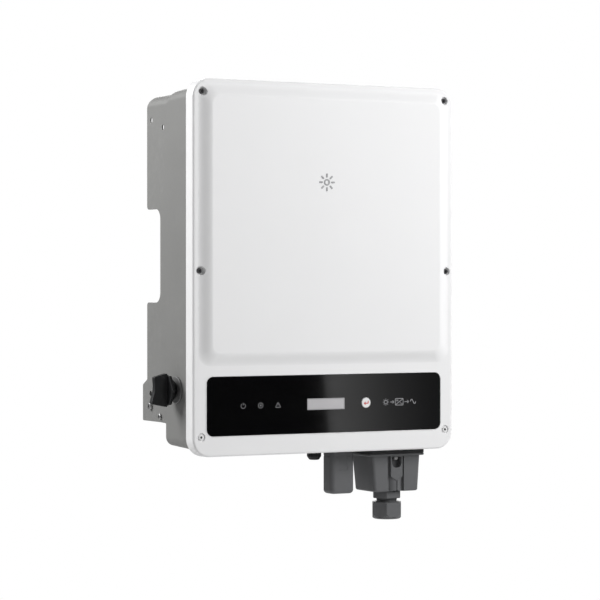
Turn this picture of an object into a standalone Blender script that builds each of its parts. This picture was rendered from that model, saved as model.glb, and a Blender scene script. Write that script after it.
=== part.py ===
"""Wall-hung string inverter, built as an assembly of separate pieces.

A drafted die-cast housing with two rear wings carries a finned heat sink, the circuit boards and
a white front cover.  The housing hangs by a hooked rail in the gutter of a wall bracket.  A rotary
DC switch sits on the left side.  A comms cap, a plug-in wireless module and the AC terminal cover
with its cable gland hang below.

Frame: +X right, +Y into the wall, +Z up.  The wall plane is Y = 0 and Z = 0 is half-way up the
front cover.  Every size and place below is in millimetres, and the helpers turn it into metres.
"""
import math

import bmesh
import bpy
from mathutils import Matrix, Vector

MM = 0.001
GAP = 0.3                          # clearance between neighbouring pieces

# ---------------------------------------------------------------- driving dimensions
COVER_WIDTH = 347.0
COVER_HEIGHT = 432.0
COVER_CORNER = 21.0
COVER_WALL = 3.0
FACE_Y = -146.5                    # flat lower face of the cover
SKIRT_REAR_Y = -128.0              # back edge of the cover's rim
COVER_INNER_Y = -142.5             # inside of the cover's flat face
PILLOW_Y = -153.5                  # raised upper face
PILLOW_BASE = (161.5, -112.0, 208.0)     # half width, lowest Z, highest Z where the rise starts
PILLOW_TOP = (152.5, -98.2, 198.0)       # the same for the raised face itself
PILLOW_CORNER = 15.0

BOX_FRONT_Y = -139.5               # front rim of the housing, inside the cover's rim
BOX_REAR_Y = -64.5                 # back of the closed box, where the wings begin
BOX_FRONT = (170.0, -210.4, 208.2)       # half width, lowest Z, highest Z
BOX_REAR = (168.8, -207.0, 205.6)
BOX_CORNERS = (14.0, 14.0, 13.0, 13.0)     # two at the bottom, two at the top
WING_CORNER = 13.0
BOX_WALL = 3.2
BOX_FLOOR_Y = -68.5                # inside of the housing's back wall

WING_OUTER = 169.0                 # half width over the wings
WING_WALL = 3.5
WING_TOP = 203.0
WING_BOTTOM = -180.5
WING_REAR_Y = -12.5                # rear edge of the wings above the foot
FOOT_REAR_Y = -0.4                 # rear edge of the feet, against the wall
FOOT_CHAMFER = (-137.8, -131.4)    # Z where the feet's slanted shoulder ends and begins
NOTCH_Z = (-40.2, 69.4)            # hand notch in each wing
NOTCH_Y = -49.0

WING_HOLES = [(-24.9, 174.4), (-57.3, 164.5), (-22.6, -147.8)]     # plain holes in both wings, as (Y, Z)
WING_HOLE_RADIUS = 3.0
AIR_OUTLET_X = 138.0               # half width of the outlet in the top of the rear section
OPENING_REACH = 12.0               # how far the openings for the ports reach up through the floor

PAD_Z = -212.0                     # flat cast pads under the housing
PORT_PADS = [(-140.0, -12.0), (-6.0, 62.0), (67.0, 150.0)]     # their ranges along X
PAD_Y = (-132.0, -68.0)
SERVICE_Y = -102.5                 # line of the ports under the housing
VENT_X = -30.0

WINDOW_SIZE = (312.0, 68.0)
WINDOW_CORNER = 8.0
WINDOW_Z = -158.5
WINDOW_Y = (-146.3, -145.0)
BUTTON_X = 53.4
BUTTON_RADIUS = 5.9
LCD_X = -0.5

SWITCH_Y = -95.5                   # axis of the rotary DC switch
SWITCH_Z = -140.8
SWITCH_HOLE = 6.0
KNOB_BASE_X = (-184.0, -180.0)     # hexagonal base of the knob
KNOB_BASE_RADIUS = 19.4
KNOB_WAIST_X = -172.3
GRIP_HALF_WIDTH = 5.0
GRIP_OUTLINE = [(-183.5, -19.4), (-203.5, -15.6), (-198.6, 2.0), (-199.8, 15.2), (-183.5, 19.4)]

COVER_SCREWS = [(sign * x, z, deep)
                for x, z, deep in ((161.5, 201.0, True), (164.5, -3.5, True), (162.8, -193.2, False))
                for sign in (-1, 1)]
SCREW_HOLE = 2.3
BOARD_Y = (-90.8, -89.2)
BOARD_X = (-112.0, 152.0)
BOARD_Z = (-130.0, 192.0)
BOARD_HOLES = [(x, z) for x in (-105.0, 145.0) for z in (-123.0, 30.0, 185.0)]

AC_CENTRE = (108.4, -99.8)         # X, Y of the terminal cover
AC_BOX = (64.0, 49.5)              # its size along X and Y halfway down
AC_TOP_HALF_X, AC_BOTTOM_HALF_X = 33.6, 30.5     # its sides draw in towards the bottom
AC_TOP_REAR_Y, AC_BOTTOM_REAR_Y = -73.3, -76.5
AC_FLANGE = (75.0, 55.0)
AC_FLANGE_Z = (-222.0, -214.8)
AC_BOTTOM = -267.2
AC_WALL = 3.2
GLAND_X, GLAND_Y = 108.4, -101.0
GLAND_HEX_BOTTOM = -276.2
GLAND_STEM_RADIUS = 12.6
GLAND_BORE = 7.5
NUT_Z = (-301.3, -281.0)

WIFI_X = 40.7
WIFI_SIZE = (32.0, 24.0)
WIFI_BOTTOM = -268.2
COM_X = 7.6

DC_X = (-124.0, -99.0, -74.0, -49.0)
DC_Y = -92.0

LOCK_Y, LOCK_Z = -24.0, -162.5     # lock screws through the feet
EARTH_Y, EARTH_Z = -50.5, -173.6   # earth screw on the left wing
EAR_X = (161.0, 163.5)             # bracket ears, inside the wings

FIN_COUNT = 26
FIN_PITCH = 11.9
FIN_THICKNESS = 2.2
FIN_TIP_Y = -18.3
SINK_BASE_Y = (-64.2, -57.5)
SINK_HALF_WIDTH = 152.0
SINK_Z = (-172.0, 194.0)

# ---------------------------------------------------------------- finishes: colour, roughness, metallic
FINISHES = {
    "white_paint": ((0.82, 0.82, 0.83), 0.35, 0.0),
    "grey_casting": ((0.26, 0.26, 0.255), 0.55, 0.2),
    "raw_aluminium": ((0.55, 0.56, 0.57), 0.45, 1.0),
    "zinc_steel": ((0.58, 0.58, 0.56), 0.4, 1.0),
    "steel": ((0.5, 0.5, 0.5), 0.3, 1.0),
    "black_acrylic": ((0.005, 0.005, 0.006), 0.08, 0.0),
    "dark_plastic": ((0.055, 0.057, 0.06), 0.5, 0.0),
    "black_plastic": ((0.02, 0.021, 0.022), 0.45, 0.0),
    "white_plastic": ((0.8, 0.8, 0.8), 0.3, 0.0),
    "lcd_grey": ((0.45, 0.46, 0.45), 0.25, 0.0),
    "rubber": ((0.03, 0.03, 0.03), 0.8, 0.0),
    "board_green": ((0.02, 0.14, 0.06), 0.45, 0.0),
    "component_blue": ((0.03, 0.07, 0.25), 0.4, 0.0),
    "core_grey": ((0.12, 0.12, 0.13), 0.6, 0.0),
    "copper": ((0.6, 0.28, 0.12), 0.35, 1.0),
    "terminal_green": ((0.05, 0.3, 0.12), 0.45, 0.0),
    "lamp_green": ((0.1, 0.55, 0.15), 0.2, 0.0),
    "lamp_red": ((0.6, 0.05, 0.03), 0.2, 0.0),
}

# Local Z of a piece turned or extruded along each axis, written as the columns of its rotation.
AXES = {
    "X": Matrix(((0, 0, 1), (1, 0, 0), (0, 1, 0))),
    "Y": Matrix(((1, 0, 0), (0, 0, 1), (0, -1, 0))),
    "Z": Matrix.Identity(3),
}


# ---------------------------------------------------------------- scene and materials
def clear_scene():
    for obj in list(bpy.data.objects):
        bpy.data.objects.remove(obj, do_unlink=True)


def new_collection(name):
    collection = bpy.data.collections.new(name)
    bpy.context.scene.collection.children.link(collection)
    return collection


def make_material(name, finish):
    colour, roughness, metallic = FINISHES[finish]
    material = bpy.data.materials.new(name + "_" + finish)
    material.use_nodes = True
    shader = material.node_tree.nodes["Principled BSDF"]
    shader.inputs["Base Color"].default_value = (*colour, 1.0)
    shader.inputs["Roughness"].default_value = roughness
    shader.inputs["Metallic"].default_value = metallic
    return material


def add_object(name, mesh, finish):
    """Link a mesh: with a finish it is a piece of the inverter, without one a cutting tool."""
    obj = bpy.data.objects.new(name, mesh)
    if finish is None:
        CUTTERS.objects.link(obj)
        obj.hide_render = True
        obj.display_type = "WIRE"
    else:
        PARTS.objects.link(obj)
        mesh.materials.append(make_material(name, finish))
    return obj


# ---------------------------------------------------------------- shapes
def fillet(points, radius, steps=4):
    """Round the corners of a closed outline.  radius is one number or one for each corner."""
    count = len(points)
    radii = radius if isinstance(radius, (list, tuple)) else [radius] * count
    outline = []
    for i in range(count):
        corner = Vector(points[i])
        before = (Vector(points[i - 1]) - corner).normalized()
        after = (Vector(points[(i + 1) % count]) - corner).normalized()
        if radii[i] <= 0:
            outline.append(tuple(corner))
            continue
        half = before.angle(after) / 2
        centre = corner + (before + after).normalized() * radii[i] / math.sin(half)
        start = corner + before * radii[i] / math.tan(half) - centre
        end = corner + after * radii[i] / math.tan(half) - centre
        sweep = start.angle_signed(end)
        for step in range(steps + 1):
            turn = Matrix.Rotation(-sweep * step / steps, 2)
            outline.append(tuple(centre + turn @ start))
    return outline


def rectangle(x_range, z_range, radius=0.0, steps=4):
    (x0, x1), (z0, z1) = x_range, z_range
    corners = [(x0, z0), (x1, z0), (x1, z1), (x0, z1)]
    return fillet(corners, radius, steps) if radius else corners


def circle(x, z, radius, sides=24):
    return [(x + radius * math.cos(2 * math.pi * i / sides), z + radius * math.sin(2 * math.pi * i / sides))
            for i in range(sides)]


def hexagon(x, y, across_flats):
    return circle(x, y, across_flats / math.sqrt(3), 6)


def prism(name, outline, low, high, axis="Z", finish=None, holes=()):
    """Flat outline with optional holes, extruded along an axis from low to high.

    The outline is in (Y, Z) for axis X, (X, Z) for axis Y and (X, Y) for axis Z.
    """
    curve = bpy.data.curves.new(name, "CURVE")
    curve.dimensions = "2D"
    curve.fill_mode = "BOTH"
    curve.extrude = (high - low) / 2 * MM
    for loop in (outline, *holes):
        spline = curve.splines.new("POLY")
        spline.points.add(len(loop) - 1)
        spline.use_cyclic_u = True
        for point, (u, v) in zip(spline.points, loop):
            point.co = (u * MM, (-v if axis == "Y" else v) * MM, 0.0, 1.0)
    sketch = bpy.data.objects.new(name + "_sketch", curve)
    CUTTERS.objects.link(sketch)
    graph = bpy.context.evaluated_depsgraph_get()
    mesh = bpy.data.meshes.new_from_object(sketch.evaluated_get(graph))
    bpy.data.objects.remove(sketch, do_unlink=True)
    bpy.data.curves.remove(curve)
    mesh.name = name
    bm = bmesh.new()
    bm.from_mesh(mesh)
    bmesh.ops.remove_doubles(bm, verts=bm.verts, dist=1e-6)
    if not holes:
        bmesh.ops.dissolve_limit(bm, angle_limit=math.radians(0.5), verts=bm.verts, edges=bm.edges)
    rotation = AXES[axis].to_4x4()
    shift = Matrix.Translation(AXES[axis] @ Vector((0, 0, (low + high) / 2 * MM)))
    bmesh.ops.transform(bm, matrix=shift @ rotation, verts=bm.verts)
    bmesh.ops.recalc_face_normals(bm, faces=bm.faces)
    bm.to_mesh(mesh)
    bm.free()
    return add_object(name, mesh, finish)


def box(name, x_range, y_range, z_range, finish=None, bevel=0.0):
    bm = bmesh.new()
    bmesh.ops.create_cube(bm, size=1.0)
    for vert in bm.verts:
        for i, (low, high) in enumerate((x_range, y_range, z_range)):
            vert.co[i] = (high if vert.co[i] > 0 else low) * MM
    mesh = bpy.data.meshes.new(name)
    bm.to_mesh(mesh)
    bm.free()
    obj = add_object(name, mesh, finish)
    if bevel:
        modifier = obj.modifiers.new("edges", "BEVEL")
        modifier.width = bevel * MM
        modifier.segments = 2
    return obj


def cylinder(name, centre, radius, low, high, axis="Z", finish=None, sides=16, high_radius=None):
    """Cylinder or cone along an axis; centre gives the other two coordinates."""
    bm = bmesh.new()
    bmesh.ops.create_cone(bm, cap_ends=True, segments=sides, radius1=radius * MM,
                          radius2=(radius if high_radius is None else high_radius) * MM,
                          depth=(high - low) * MM)
    mesh = bpy.data.meshes.new(name)
    bm.to_mesh(mesh)
    bm.free()
    mesh.shade_smooth()
    mesh.set_sharp_from_angle(angle=math.radians(40))
    obj = add_object(name, mesh, finish)
    middle = list(centre)
    middle.insert("XYZ".index(axis), (low + high) / 2)
    obj.matrix_world = Matrix.Translation(Vector(middle) * MM) @ AXES[axis].to_4x4()
    return obj


def turned(name, origin, profile, axis="Z", finish=None, sides=20, ring=False):
    """Turn a profile of (radius, height) about an axis through origin.

    The profile runs down its outer side; a ring closes on itself, a solid ends on the axis.
    """
    points = [(radius * MM, 0.0, height * MM) for radius, height in profile]
    edges = [(i, i + 1) for i in range(len(points) - 1)]
    if ring:
        edges.append((len(points) - 1, 0))
    mesh = bpy.data.meshes.new(name)
    mesh.from_pydata(points, edges, [])
    obj = add_object(name, mesh, finish)
    obj.matrix_world = Matrix.Translation(Vector(origin) * MM) @ AXES[axis].to_4x4()
    screw = obj.modifiers.new("turn", "SCREW")
    screw.steps = sides
    screw.render_steps = sides
    screw.use_merge_vertices = True
    screw.merge_threshold = 0.00001
    screw.use_smooth_shade = True
    return obj


def cut(target, *tools):
    for tool in tools:
        add_boolean(target, tool, "DIFFERENCE")


def join(target, *tools):
    for tool in tools:
        add_boolean(target, tool, "UNION")


def keep_inside(target, tool):
    add_boolean(target, tool, "INTERSECT")


def add_boolean(target, tool, operation):
    modifier = target.modifiers.new(tool.name, "BOOLEAN")
    modifier.operation = operation
    modifier.solver = "EXACT"
    modifier.object = tool


def reshape(obj, pick, move):
    """Move the mesh points that pick accepts; both work on (x, y, z) in millimetres."""
    for vert in obj.data.vertices:
        point = [value / MM for value in vert.co]
        if pick(*point):
            vert.co = Vector(move(*point)) * MM


def frustum(name, front, rear, y_front, y_rear, corner, finish=None):
    """Rounded box whose half width and Z range differ between its front and its rear."""
    outline = rectangle((-rear[0], rear[0]), (rear[1], rear[2]), corner)
    obj = prism(name, outline, y_front, y_rear, "Y", finish)
    x_scale = front[0] / rear[0]
    z_scale = (front[2] - front[1]) / (rear[2] - rear[1])
    reshape(obj, lambda x, y, z: y < (y_front + y_rear) / 2,
            lambda x, y, z: (x * x_scale, y, front[1] + (z - rear[1]) * z_scale))
    return obj


def round_edges(obj, width, segments, pick):
    """Round the sharp edges whose two ends are both accepted by pick(x, y, z) in millimetres."""
    bm = bmesh.new()
    bm.from_mesh(obj.data)
    edges = [edge for edge in bm.edges
             if edge.calc_face_angle(0.0) > math.radians(40)
             and all(pick(*(value / MM for value in vert.co)) for vert in edge.verts)]
    bmesh.ops.bevel(bm, geom=edges, offset=width * MM, segments=segments, profile=0.5, affect="EDGES")
    bm.to_mesh(obj.data)
    bm.free()


def set_origin(obj, point):
    """Move an object's origin without moving its shape."""
    world = Vector(point) * MM
    obj.data.transform(Matrix.Translation(-world))
    obj.location = world


# ---------------------------------------------------------------- front cover and its face
def make_cover():
    half_width, half_height = COVER_WIDTH / 2, COVER_HEIGHT / 2
    outline = rectangle((-half_width, half_width), (-half_height, half_height), COVER_CORNER, 6)
    cover = prism("front_cover", outline, FACE_Y, SKIRT_REAR_Y, "Y", "white_paint")
    round_edges(cover, 2.2, 3, lambda x, y, z: y < FACE_Y + 0.1)
    pillow = frustum("pillow_tool", PILLOW_TOP, PILLOW_BASE, PILLOW_Y, FACE_Y + 0.5, PILLOW_CORNER)
    round_edges(pillow, 2.5, 2, lambda x, y, z: y < PILLOW_Y + 0.1)
    join(cover, pillow)

    inner_x, inner_z = half_width - COVER_WALL, half_height - COVER_WALL
    cavity = prism("cover_cavity_tool", rectangle((-inner_x, inner_x), (-inner_z, inner_z),
                                                  COVER_CORNER - COVER_WALL),
                   COVER_INNER_Y, SKIRT_REAR_Y + 1, "Y")
    shrink = COVER_WALL
    raised = frustum("pillow_cavity_tool",
                     (PILLOW_TOP[0] - shrink, PILLOW_TOP[1] + shrink, PILLOW_TOP[2] - shrink),
                     (PILLOW_BASE[0] - shrink, PILLOW_BASE[1] + shrink, PILLOW_BASE[2] - shrink),
                     PILLOW_Y + shrink + 0.5, COVER_INNER_Y + 0.5, PILLOW_CORNER - shrink)
    join(cavity, raised)
    for i, (x, z, _) in enumerate(COVER_SCREWS):
        cut(cavity, cylinder(f"cover_boss_tool_{i}", (x, z), 6.4, FACE_Y - 5, COVER_INNER_Y, "Y"))
    cut(cover, cavity)
    for i, (x, z, deep) in enumerate(COVER_SCREWS):
        seat = screw_seat(deep)
        cut(cover, cylinder(f"cover_pocket_tool_{i}", (x, z), 4.7, PILLOW_Y - 2, seat, "Y"))
        cut(cover, cylinder(f"cover_hole_tool_{i}", (x, z), SCREW_HOLE, seat - 1, BOX_FRONT_Y + 1, "Y",
                            sides=10))

    window_x, window_z = WINDOW_SIZE[0] / 2 + GAP, WINDOW_SIZE[1] / 2 + GAP
    pocket = rectangle((-window_x, window_x), (WINDOW_Z - window_z, WINDOW_Z + window_z), WINDOW_CORNER + GAP)
    cut(cover, prism("window_pocket_tool", pocket, FACE_Y - 2, WINDOW_Y[1] + GAP, "Y"))
    cut(cover, prism("window_opening_tool", rectangle((-128, 128), (WINDOW_Z - 21, WINDOW_Z + 21), 4),
                     WINDOW_Y[1], COVER_INNER_Y + 1, "Y"))


def screw_seat(deep):
    """Y of the face that a cover screw's head rests on."""
    return FACE_Y + (3.0 if deep else 1.6)


def make_cover_screws():
    for i, (x, z, deep) in enumerate(COVER_SCREWS):
        seat = screw_seat(deep) - GAP
        profile = [(0, 15.0), (2.0, 15.0), (2.0, 0.0), (3.3, 0.0), (3.3, -0.9), (2.8, -1.4),
                   (1.35, -1.4), (1.35, -0.3), (0, -0.3)]
        turned(f"cover_screw_{i + 1}", (x, seat, z), profile, "Y", "steel", 12)


def make_cover_gasket():
    outer = rectangle((-169.6, 169.6), (-209.9, 207.7), BOX_CORNERS)
    inner = rectangle((-167.0, 167.0), (-207.3, 205.1), [corner - 2.6 for corner in BOX_CORNERS])
    prism("cover_gasket", outer, COVER_INNER_Y + GAP, BOX_FRONT_Y - GAP, "Y", "rubber", [inner])


def make_display():
    half_x, half_z = WINDOW_SIZE[0] / 2, WINDOW_SIZE[1] / 2
    outline = rectangle((-half_x, half_x), (WINDOW_Z - half_z, WINDOW_Z + half_z), WINDOW_CORNER)
    prism("display_window", outline, *WINDOW_Y, "Y", "black_acrylic",
          [circle(BUTTON_X, WINDOW_Z, BUTTON_RADIUS + 0.5, 24)])
    box("lcd_module", (LCD_X - 33, LCD_X + 33), (-144.6, -136.8), (WINDOW_Z - 13, WINDOW_Z + 13),
        "lcd_grey", 0.6)
    holes = [circle(x, z, 1.6, 12) for x in (-119, 119) for z in (WINDOW_Z - 14, WINDOW_Z + 14)]
    prism("display_board", rectangle((-124, 124), (WINDOW_Z - 19, WINDOW_Z + 19), 2), -136.5, -134.9, "Y",
          "board_green", holes)
    box("button_switch", (BUTTON_X - 3, BUTTON_X + 3), (-140.0, -136.8), (WINDOW_Z - 3, WINDOW_Z + 3),
        "black_plastic", 0.4)
    for name, x, finish in (("led_power", -109.2, "lamp_green"), ("led_run", -86.7, "lamp_green"),
                            ("led_fault", -64.0, "lamp_red")):
        lamp = [(0, 0.0), (1.9, 0.0), (1.9, -1.0), (1.5, -1.0), (1.5, -6.5), (0, -7.6)]
        turned(name, (x, -136.8, WINDOW_Z), lamp, "Y", finish, 12)
    r = BUTTON_RADIUS
    button = [(0, 5.4), (2.0, 5.4), (2.0, 3.6), (7.2, 3.6), (7.2, 2.4), (r, 2.4), (r, 0.5), (r - 0.5, 0.0),
              (0, 0.0)]
    turned("enter_button", (BUTTON_X, -147.0, WINDOW_Z), button, "Y", "white_plastic", 24)


# ---------------------------------------------------------------- housing
def wing_profile():
    """Outline of the rear section seen from the side, as (Y, Z)."""
    front = BOX_REAR_Y - 2
    points = [(front, WING_BOTTOM), (FOOT_REAR_Y, WING_BOTTOM), (FOOT_REAR_Y, FOOT_CHAMFER[0]),
              (WING_REAR_Y, FOOT_CHAMFER[1]), (WING_REAR_Y, NOTCH_Z[0]), (NOTCH_Y, NOTCH_Z[0]),
              (NOTCH_Y, NOTCH_Z[1]), (WING_REAR_Y, NOTCH_Z[1]), (WING_REAR_Y, WING_TOP), (front, WING_TOP)]
    return fillet(points, [0, 2, 2, 2, 4, 12, 12, 4, 15, 0])


def make_housing():
    housing = frustum("housing", BOX_FRONT, BOX_REAR, BOX_FRONT_Y, BOX_REAR_Y, BOX_CORNERS, "grey_casting")
    rear = prism("rear_section_tool", fillet([(-WING_OUTER, WING_BOTTOM), (WING_OUTER, WING_BOTTOM),
                                              (WING_OUTER, WING_TOP), (-WING_OUTER, WING_TOP)],
                                             [0, 0, WING_CORNER, WING_CORNER]),
                 BOX_REAR_Y - 1.5, 0.0, "Y")
    keep_inside(rear, prism("wing_profile_tool", wing_profile(), -WING_OUTER - 5, WING_OUTER + 5, "X"))
    inner = WING_OUTER - WING_WALL
    inner_top = WING_TOP - WING_WALL
    inner_corner = WING_CORNER - WING_WALL
    inside = fillet([(-inner, WING_BOTTOM - 5), (inner, WING_BOTTOM - 5),
                     (inner, inner_top), (-inner, inner_top)], [0, 0, inner_corner, inner_corner])
    cut(rear, prism("wing_inside_tool", inside, BOX_REAR_Y - 0.01, 2.0, "Y"))
    cut(rear, box("air_outlet_tool", (-AIR_OUTLET_X, AIR_OUTLET_X), (BOX_REAR_Y + 5, 2),
                  (WING_TOP - 20, WING_TOP + 5)))
    join(housing, rear)
    for i, x_range in enumerate(PORT_PADS):
        join(housing, box(f"port_pad_tool_{i}", x_range, PAD_Y, (PAD_Z, PAD_Z + 7)))

    cavity = frustum("housing_cavity_tool",
                     (BOX_FRONT[0] - BOX_WALL, BOX_FRONT[1] + BOX_WALL, BOX_FRONT[2] - BOX_WALL),
                     (BOX_REAR[0] - BOX_WALL, BOX_REAR[1] + BOX_WALL, BOX_REAR[2] - BOX_WALL),
                     BOX_FRONT_Y - 1, BOX_FLOOR_Y, [corner - BOX_WALL for corner in BOX_CORNERS])
    for i, (x, z, deep) in enumerate(COVER_SCREWS):
        cut(cavity, cylinder(f"housing_boss_tool_{i}", (x, z), 5.8, BOX_FRONT_Y, BOX_FLOOR_Y + 1, "Y",
                             sides=12))
    for i, (x, z) in enumerate(BOARD_HOLES):
        cut(cavity, cylinder(f"board_boss_tool_{i}", (x, z), 4.0, BOARD_Y[1] + GAP, BOX_FLOOR_Y + 1, "Y",
                             sides=10))
    cut(housing, cavity)
    for i, (x, z, deep) in enumerate(COVER_SCREWS):
        cut(housing, cylinder(f"housing_tap_tool_{i}", (x, z), SCREW_HOLE, BOX_FRONT_Y - 2, -125, "Y",
                              sides=10))

    cut(housing, box("module_window_tool", (-56, 56), (BOX_FLOOR_Y - 1, BOX_REAR_Y + 1), (-26, 46)),
        cylinder("switch_hole_tool", (SWITCH_Y, SWITCH_Z), SWITCH_HOLE, -175, -160, "X"))
    through = (PAD_Z - 1, PAD_Z + OPENING_REACH)
    cut(housing, box("ac_opening_tool", (83, 134), (-116, -86), through),
        box("wifi_opening_tool", (WIFI_X - 10.3, WIFI_X + 10.3), (SERVICE_Y - 6.3, SERVICE_Y + 6.3),
            through),
        cylinder("com_opening_tool", (COM_X, SERVICE_Y), 6.3, *through),
        cylinder("vent_opening_tool", (VENT_X, DC_Y), 3.4, *through))
    for i, x in enumerate(DC_X):
        cut(housing, cylinder(f"dc_opening_tool_{i}", (x, DC_Y), 6.3, *through))
    for i, y in enumerate(ac_screw_places()):
        cut(housing, cylinder(f"ac_tap_tool_{i}", (AC_CENTRE[0], y), SCREW_HOLE, *through, sides=10))
    lock_holes = [cylinder(f"lock_hole_tool_{side}", (LOCK_Y, LOCK_Z), 2.9, low, low + 12, "X", sides=12)
                  for side, low in (("left", -175), ("right", 163))]
    cut(housing, *lock_holes)
    cut(housing, cylinder("earth_hole_tool", (EARTH_Y, EARTH_Z), SCREW_HOLE, -175, -160, "X", sides=12))
    for i, place in enumerate(WING_HOLES):
        cut(housing, cylinder(f"wing_hole_tool_{i}", place, WING_HOLE_RADIUS, -175, 175, "X", sides=10))


def make_heat_sink():
    """Extruded comb: a base plate with upright fins, open between them from bottom to top."""
    front, rear = SINK_BASE_Y
    outline = [(SINK_HALF_WIDTH, rear), (SINK_HALF_WIDTH, front),
               (-SINK_HALF_WIDTH, front), (-SINK_HALF_WIDTH, rear)]
    for i in range(FIN_COUNT):
        left = FIN_PITCH * (i - (FIN_COUNT - 1) / 2) - FIN_THICKNESS / 2
        right = left + FIN_THICKNESS
        outline += [(left, rear), (left, FIN_TIP_Y), (right, FIN_TIP_Y), (right, rear)]
    prism("heat_sink", outline, *SINK_Z, "Z", "raw_aluminium")


# ---------------------------------------------------------------- rotary DC switch
def make_switch():
    centre = (SWITCH_Y, SWITCH_Z)
    turned("dc_switch_bezel", (-169.9, *centre),
           [(15.8, 0.0), (15.8, -1.4), (15.0, -2.0), (4.2, -2.0), (4.2, 0.0)], "X", "dark_plastic", 32, True)
    shaft = cylinder("dc_switch_shaft", centre, 3.0, -180.0, -150.0, "X", "steel", 16)
    set_turning_origin(shaft)

    knob = cylinder("dc_switch_knob", centre, KNOB_BASE_RADIUS, *KNOB_BASE_X, "X", "black_plastic", 6, 16.5)
    join(knob, cylinder("knob_waist_tool", centre, 16.5, KNOB_BASE_X[1] - 0.2, KNOB_WAIST_X, "X", sides=6,
                        high_radius=9.0))
    grip = prism("knob_grip_tool", fillet(GRIP_OUTLINE, [0, 1.5, 30, 1.5, 0]), SWITCH_Y - GRIP_HALF_WIDTH,
                 SWITCH_Y + GRIP_HALF_WIDTH, "Y")
    reshape(grip, lambda x, y, z: True,
            lambda x, y, z: (x, SWITCH_Y + (y - SWITCH_Y) * (1.0 if x > -190 else 0.75), z + SWITCH_Z))
    join(knob, grip)
    cut(knob, cylinder("knob_bore_tool", centre, 3.3, KNOB_BASE_X[1] - 0.3, KNOB_WAIST_X + 1.3, "X",
                       sides=16))
    set_turning_origin(knob)

    body = box("dc_switch_body", (-165.0, -122.0), (-118.5, -72.5), (-164.0, -118.0), "core_grey", 1.0)
    cut(body, cylinder("switch_body_bore_tool", centre, 4.0, -166.0, -149.5, "X", sides=16))


def set_turning_origin(obj):
    """Put a switch piece's origin on the switch axis at the housing's side."""
    world = obj.matrix_world.copy()
    obj.data.transform(world)
    obj.matrix_world = Matrix.Identity(4)
    set_origin(obj, (-170.0, SWITCH_Y, SWITCH_Z))


# ---------------------------------------------------------------- ports below the housing
def ac_screw_places():
    """Y of the two screws that hold the AC terminal cover, front then rear."""
    offset = AC_BOX[1] / 2 - 3.2
    return AC_CENTRE[1] - offset, AC_CENTRE[1] + offset


def make_ac_cover():
    x, y = AC_CENTRE
    half_x, half_y = AC_BOX[0] / 2, AC_BOX[1] / 2
    front_y = y - half_y
    cover = prism("ac_terminal_cover",
                  rectangle((x - AC_TOP_HALF_X, x + AC_TOP_HALF_X), (front_y, AC_TOP_REAR_Y), 2.0, 2),
                  AC_BOTTOM, AC_FLANGE_Z[0] + 1, "Z", "dark_plastic")
    x_scale = AC_BOTTOM_HALF_X / AC_TOP_HALF_X
    y_scale = (AC_BOTTOM_REAR_Y - front_y) / (AC_TOP_REAR_Y - front_y)
    reshape(cover, lambda px, py, pz: pz < AC_BOTTOM + 1,
            lambda px, py, pz: (x + (px - x) * x_scale, front_y + (py - front_y) * y_scale, pz))
    flange_x, flange_y = AC_FLANGE[0] / 2, AC_FLANGE[1] / 2
    flange = rectangle((x - flange_x, x + flange_x), (y - flange_y, y + flange_y), 3.0, 2)
    join(cover, prism("ac_flange_tool", flange, *AC_FLANGE_Z))
    for i, side in enumerate((-1, 1)):
        face = y + side * half_y
        pillar = [(x - 12, face - side * 2), (x - 12, face), (x - 7.5, face + side * 3.4),
                  (x + 7.5, face + side * 3.4), (x + 12, face), (x + 12, face - side * 2)]
        join(cover, prism(f"ac_pillar_tool_{i}", pillar, AC_BOTTOM + 3, AC_FLANGE_Z[0] + 2))

    inner = prism("ac_inside_tool", rectangle((x - half_x + AC_WALL, x + half_x - AC_WALL),
                                              (y - half_y + AC_WALL, y + half_y - AC_WALL)),
                  AC_BOTTOM + AC_WALL, AC_FLANGE_Z[1] + 1)
    for i, side in enumerate((-1, 1)):
        low, high = sorted((ac_screw_places()[i] - side * 4, y + side * half_y))
        cut(inner, box(f"ac_screw_column_tool_{i}", (x - 9, x + 9), (low, high),
                       (AC_BOTTOM - 5, AC_FLANGE_Z[1] + 0.01)))
    cut(cover, inner)
    for i, (place, side) in enumerate(zip(ac_screw_places(), (-1, 1))):
        low, high = sorted((place - side * 3.6, place + side * 12))
        cut(cover, box(f"ac_pocket_tool_{i}", (x - 6, x + 6), (low, high), (-238.0, -226.0)),
            cylinder(f"ac_driver_tool_{i}", (x, place), 3.4, AC_BOTTOM - 1, -237, sides=16),
            cylinder(f"ac_screw_hole_tool_{i}", (x, place), SCREW_HOLE, -227, AC_FLANGE_Z[1] + 1, sides=16))
        profile = [(0, 22.0), (2.0, 22.0), (2.0, 0.0), (3.4, 0.0), (3.4, -3.0), (1.3, -3.0), (1.3, -1.4),
                   (0, -1.4)]
        turned(f"ac_cover_screw_{('front', 'rear')[i]}", (x, place, -226.0 - GAP), profile, "Z", "steel", 12)
    cut(cover, cylinder("gland_hole_tool", (GLAND_X, GLAND_Y), 10.3,
                        AC_BOTTOM - 1, AC_BOTTOM + AC_WALL + 1))

    outer = rectangle((x - flange_x + 1, x + flange_x - 1), (y - flange_y + 1, y + flange_y - 1), 2.0, 2)
    hole = rectangle((x - half_x + AC_WALL, x + half_x - AC_WALL), (y - 15, y + 15), 2.0, 2)
    screw_holes = [circle(x, place, 2.4, 16) for place in ac_screw_places()]
    prism("ac_cover_gasket", outer, AC_FLANGE_Z[1] + GAP, PAD_Z - GAP, "Z", "rubber", [hole, *screw_holes])

    block = box("ac_terminal_block", (86, 131), (-112, -90), (-204.5, -182), "terminal_green", 0.8)
    for i in range(3):
        cut(block, cylinder(f"wire_hole_tool_{i}", (93.5 + 15 * i, -101), 4.2, -206, -190, sides=16))


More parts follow.
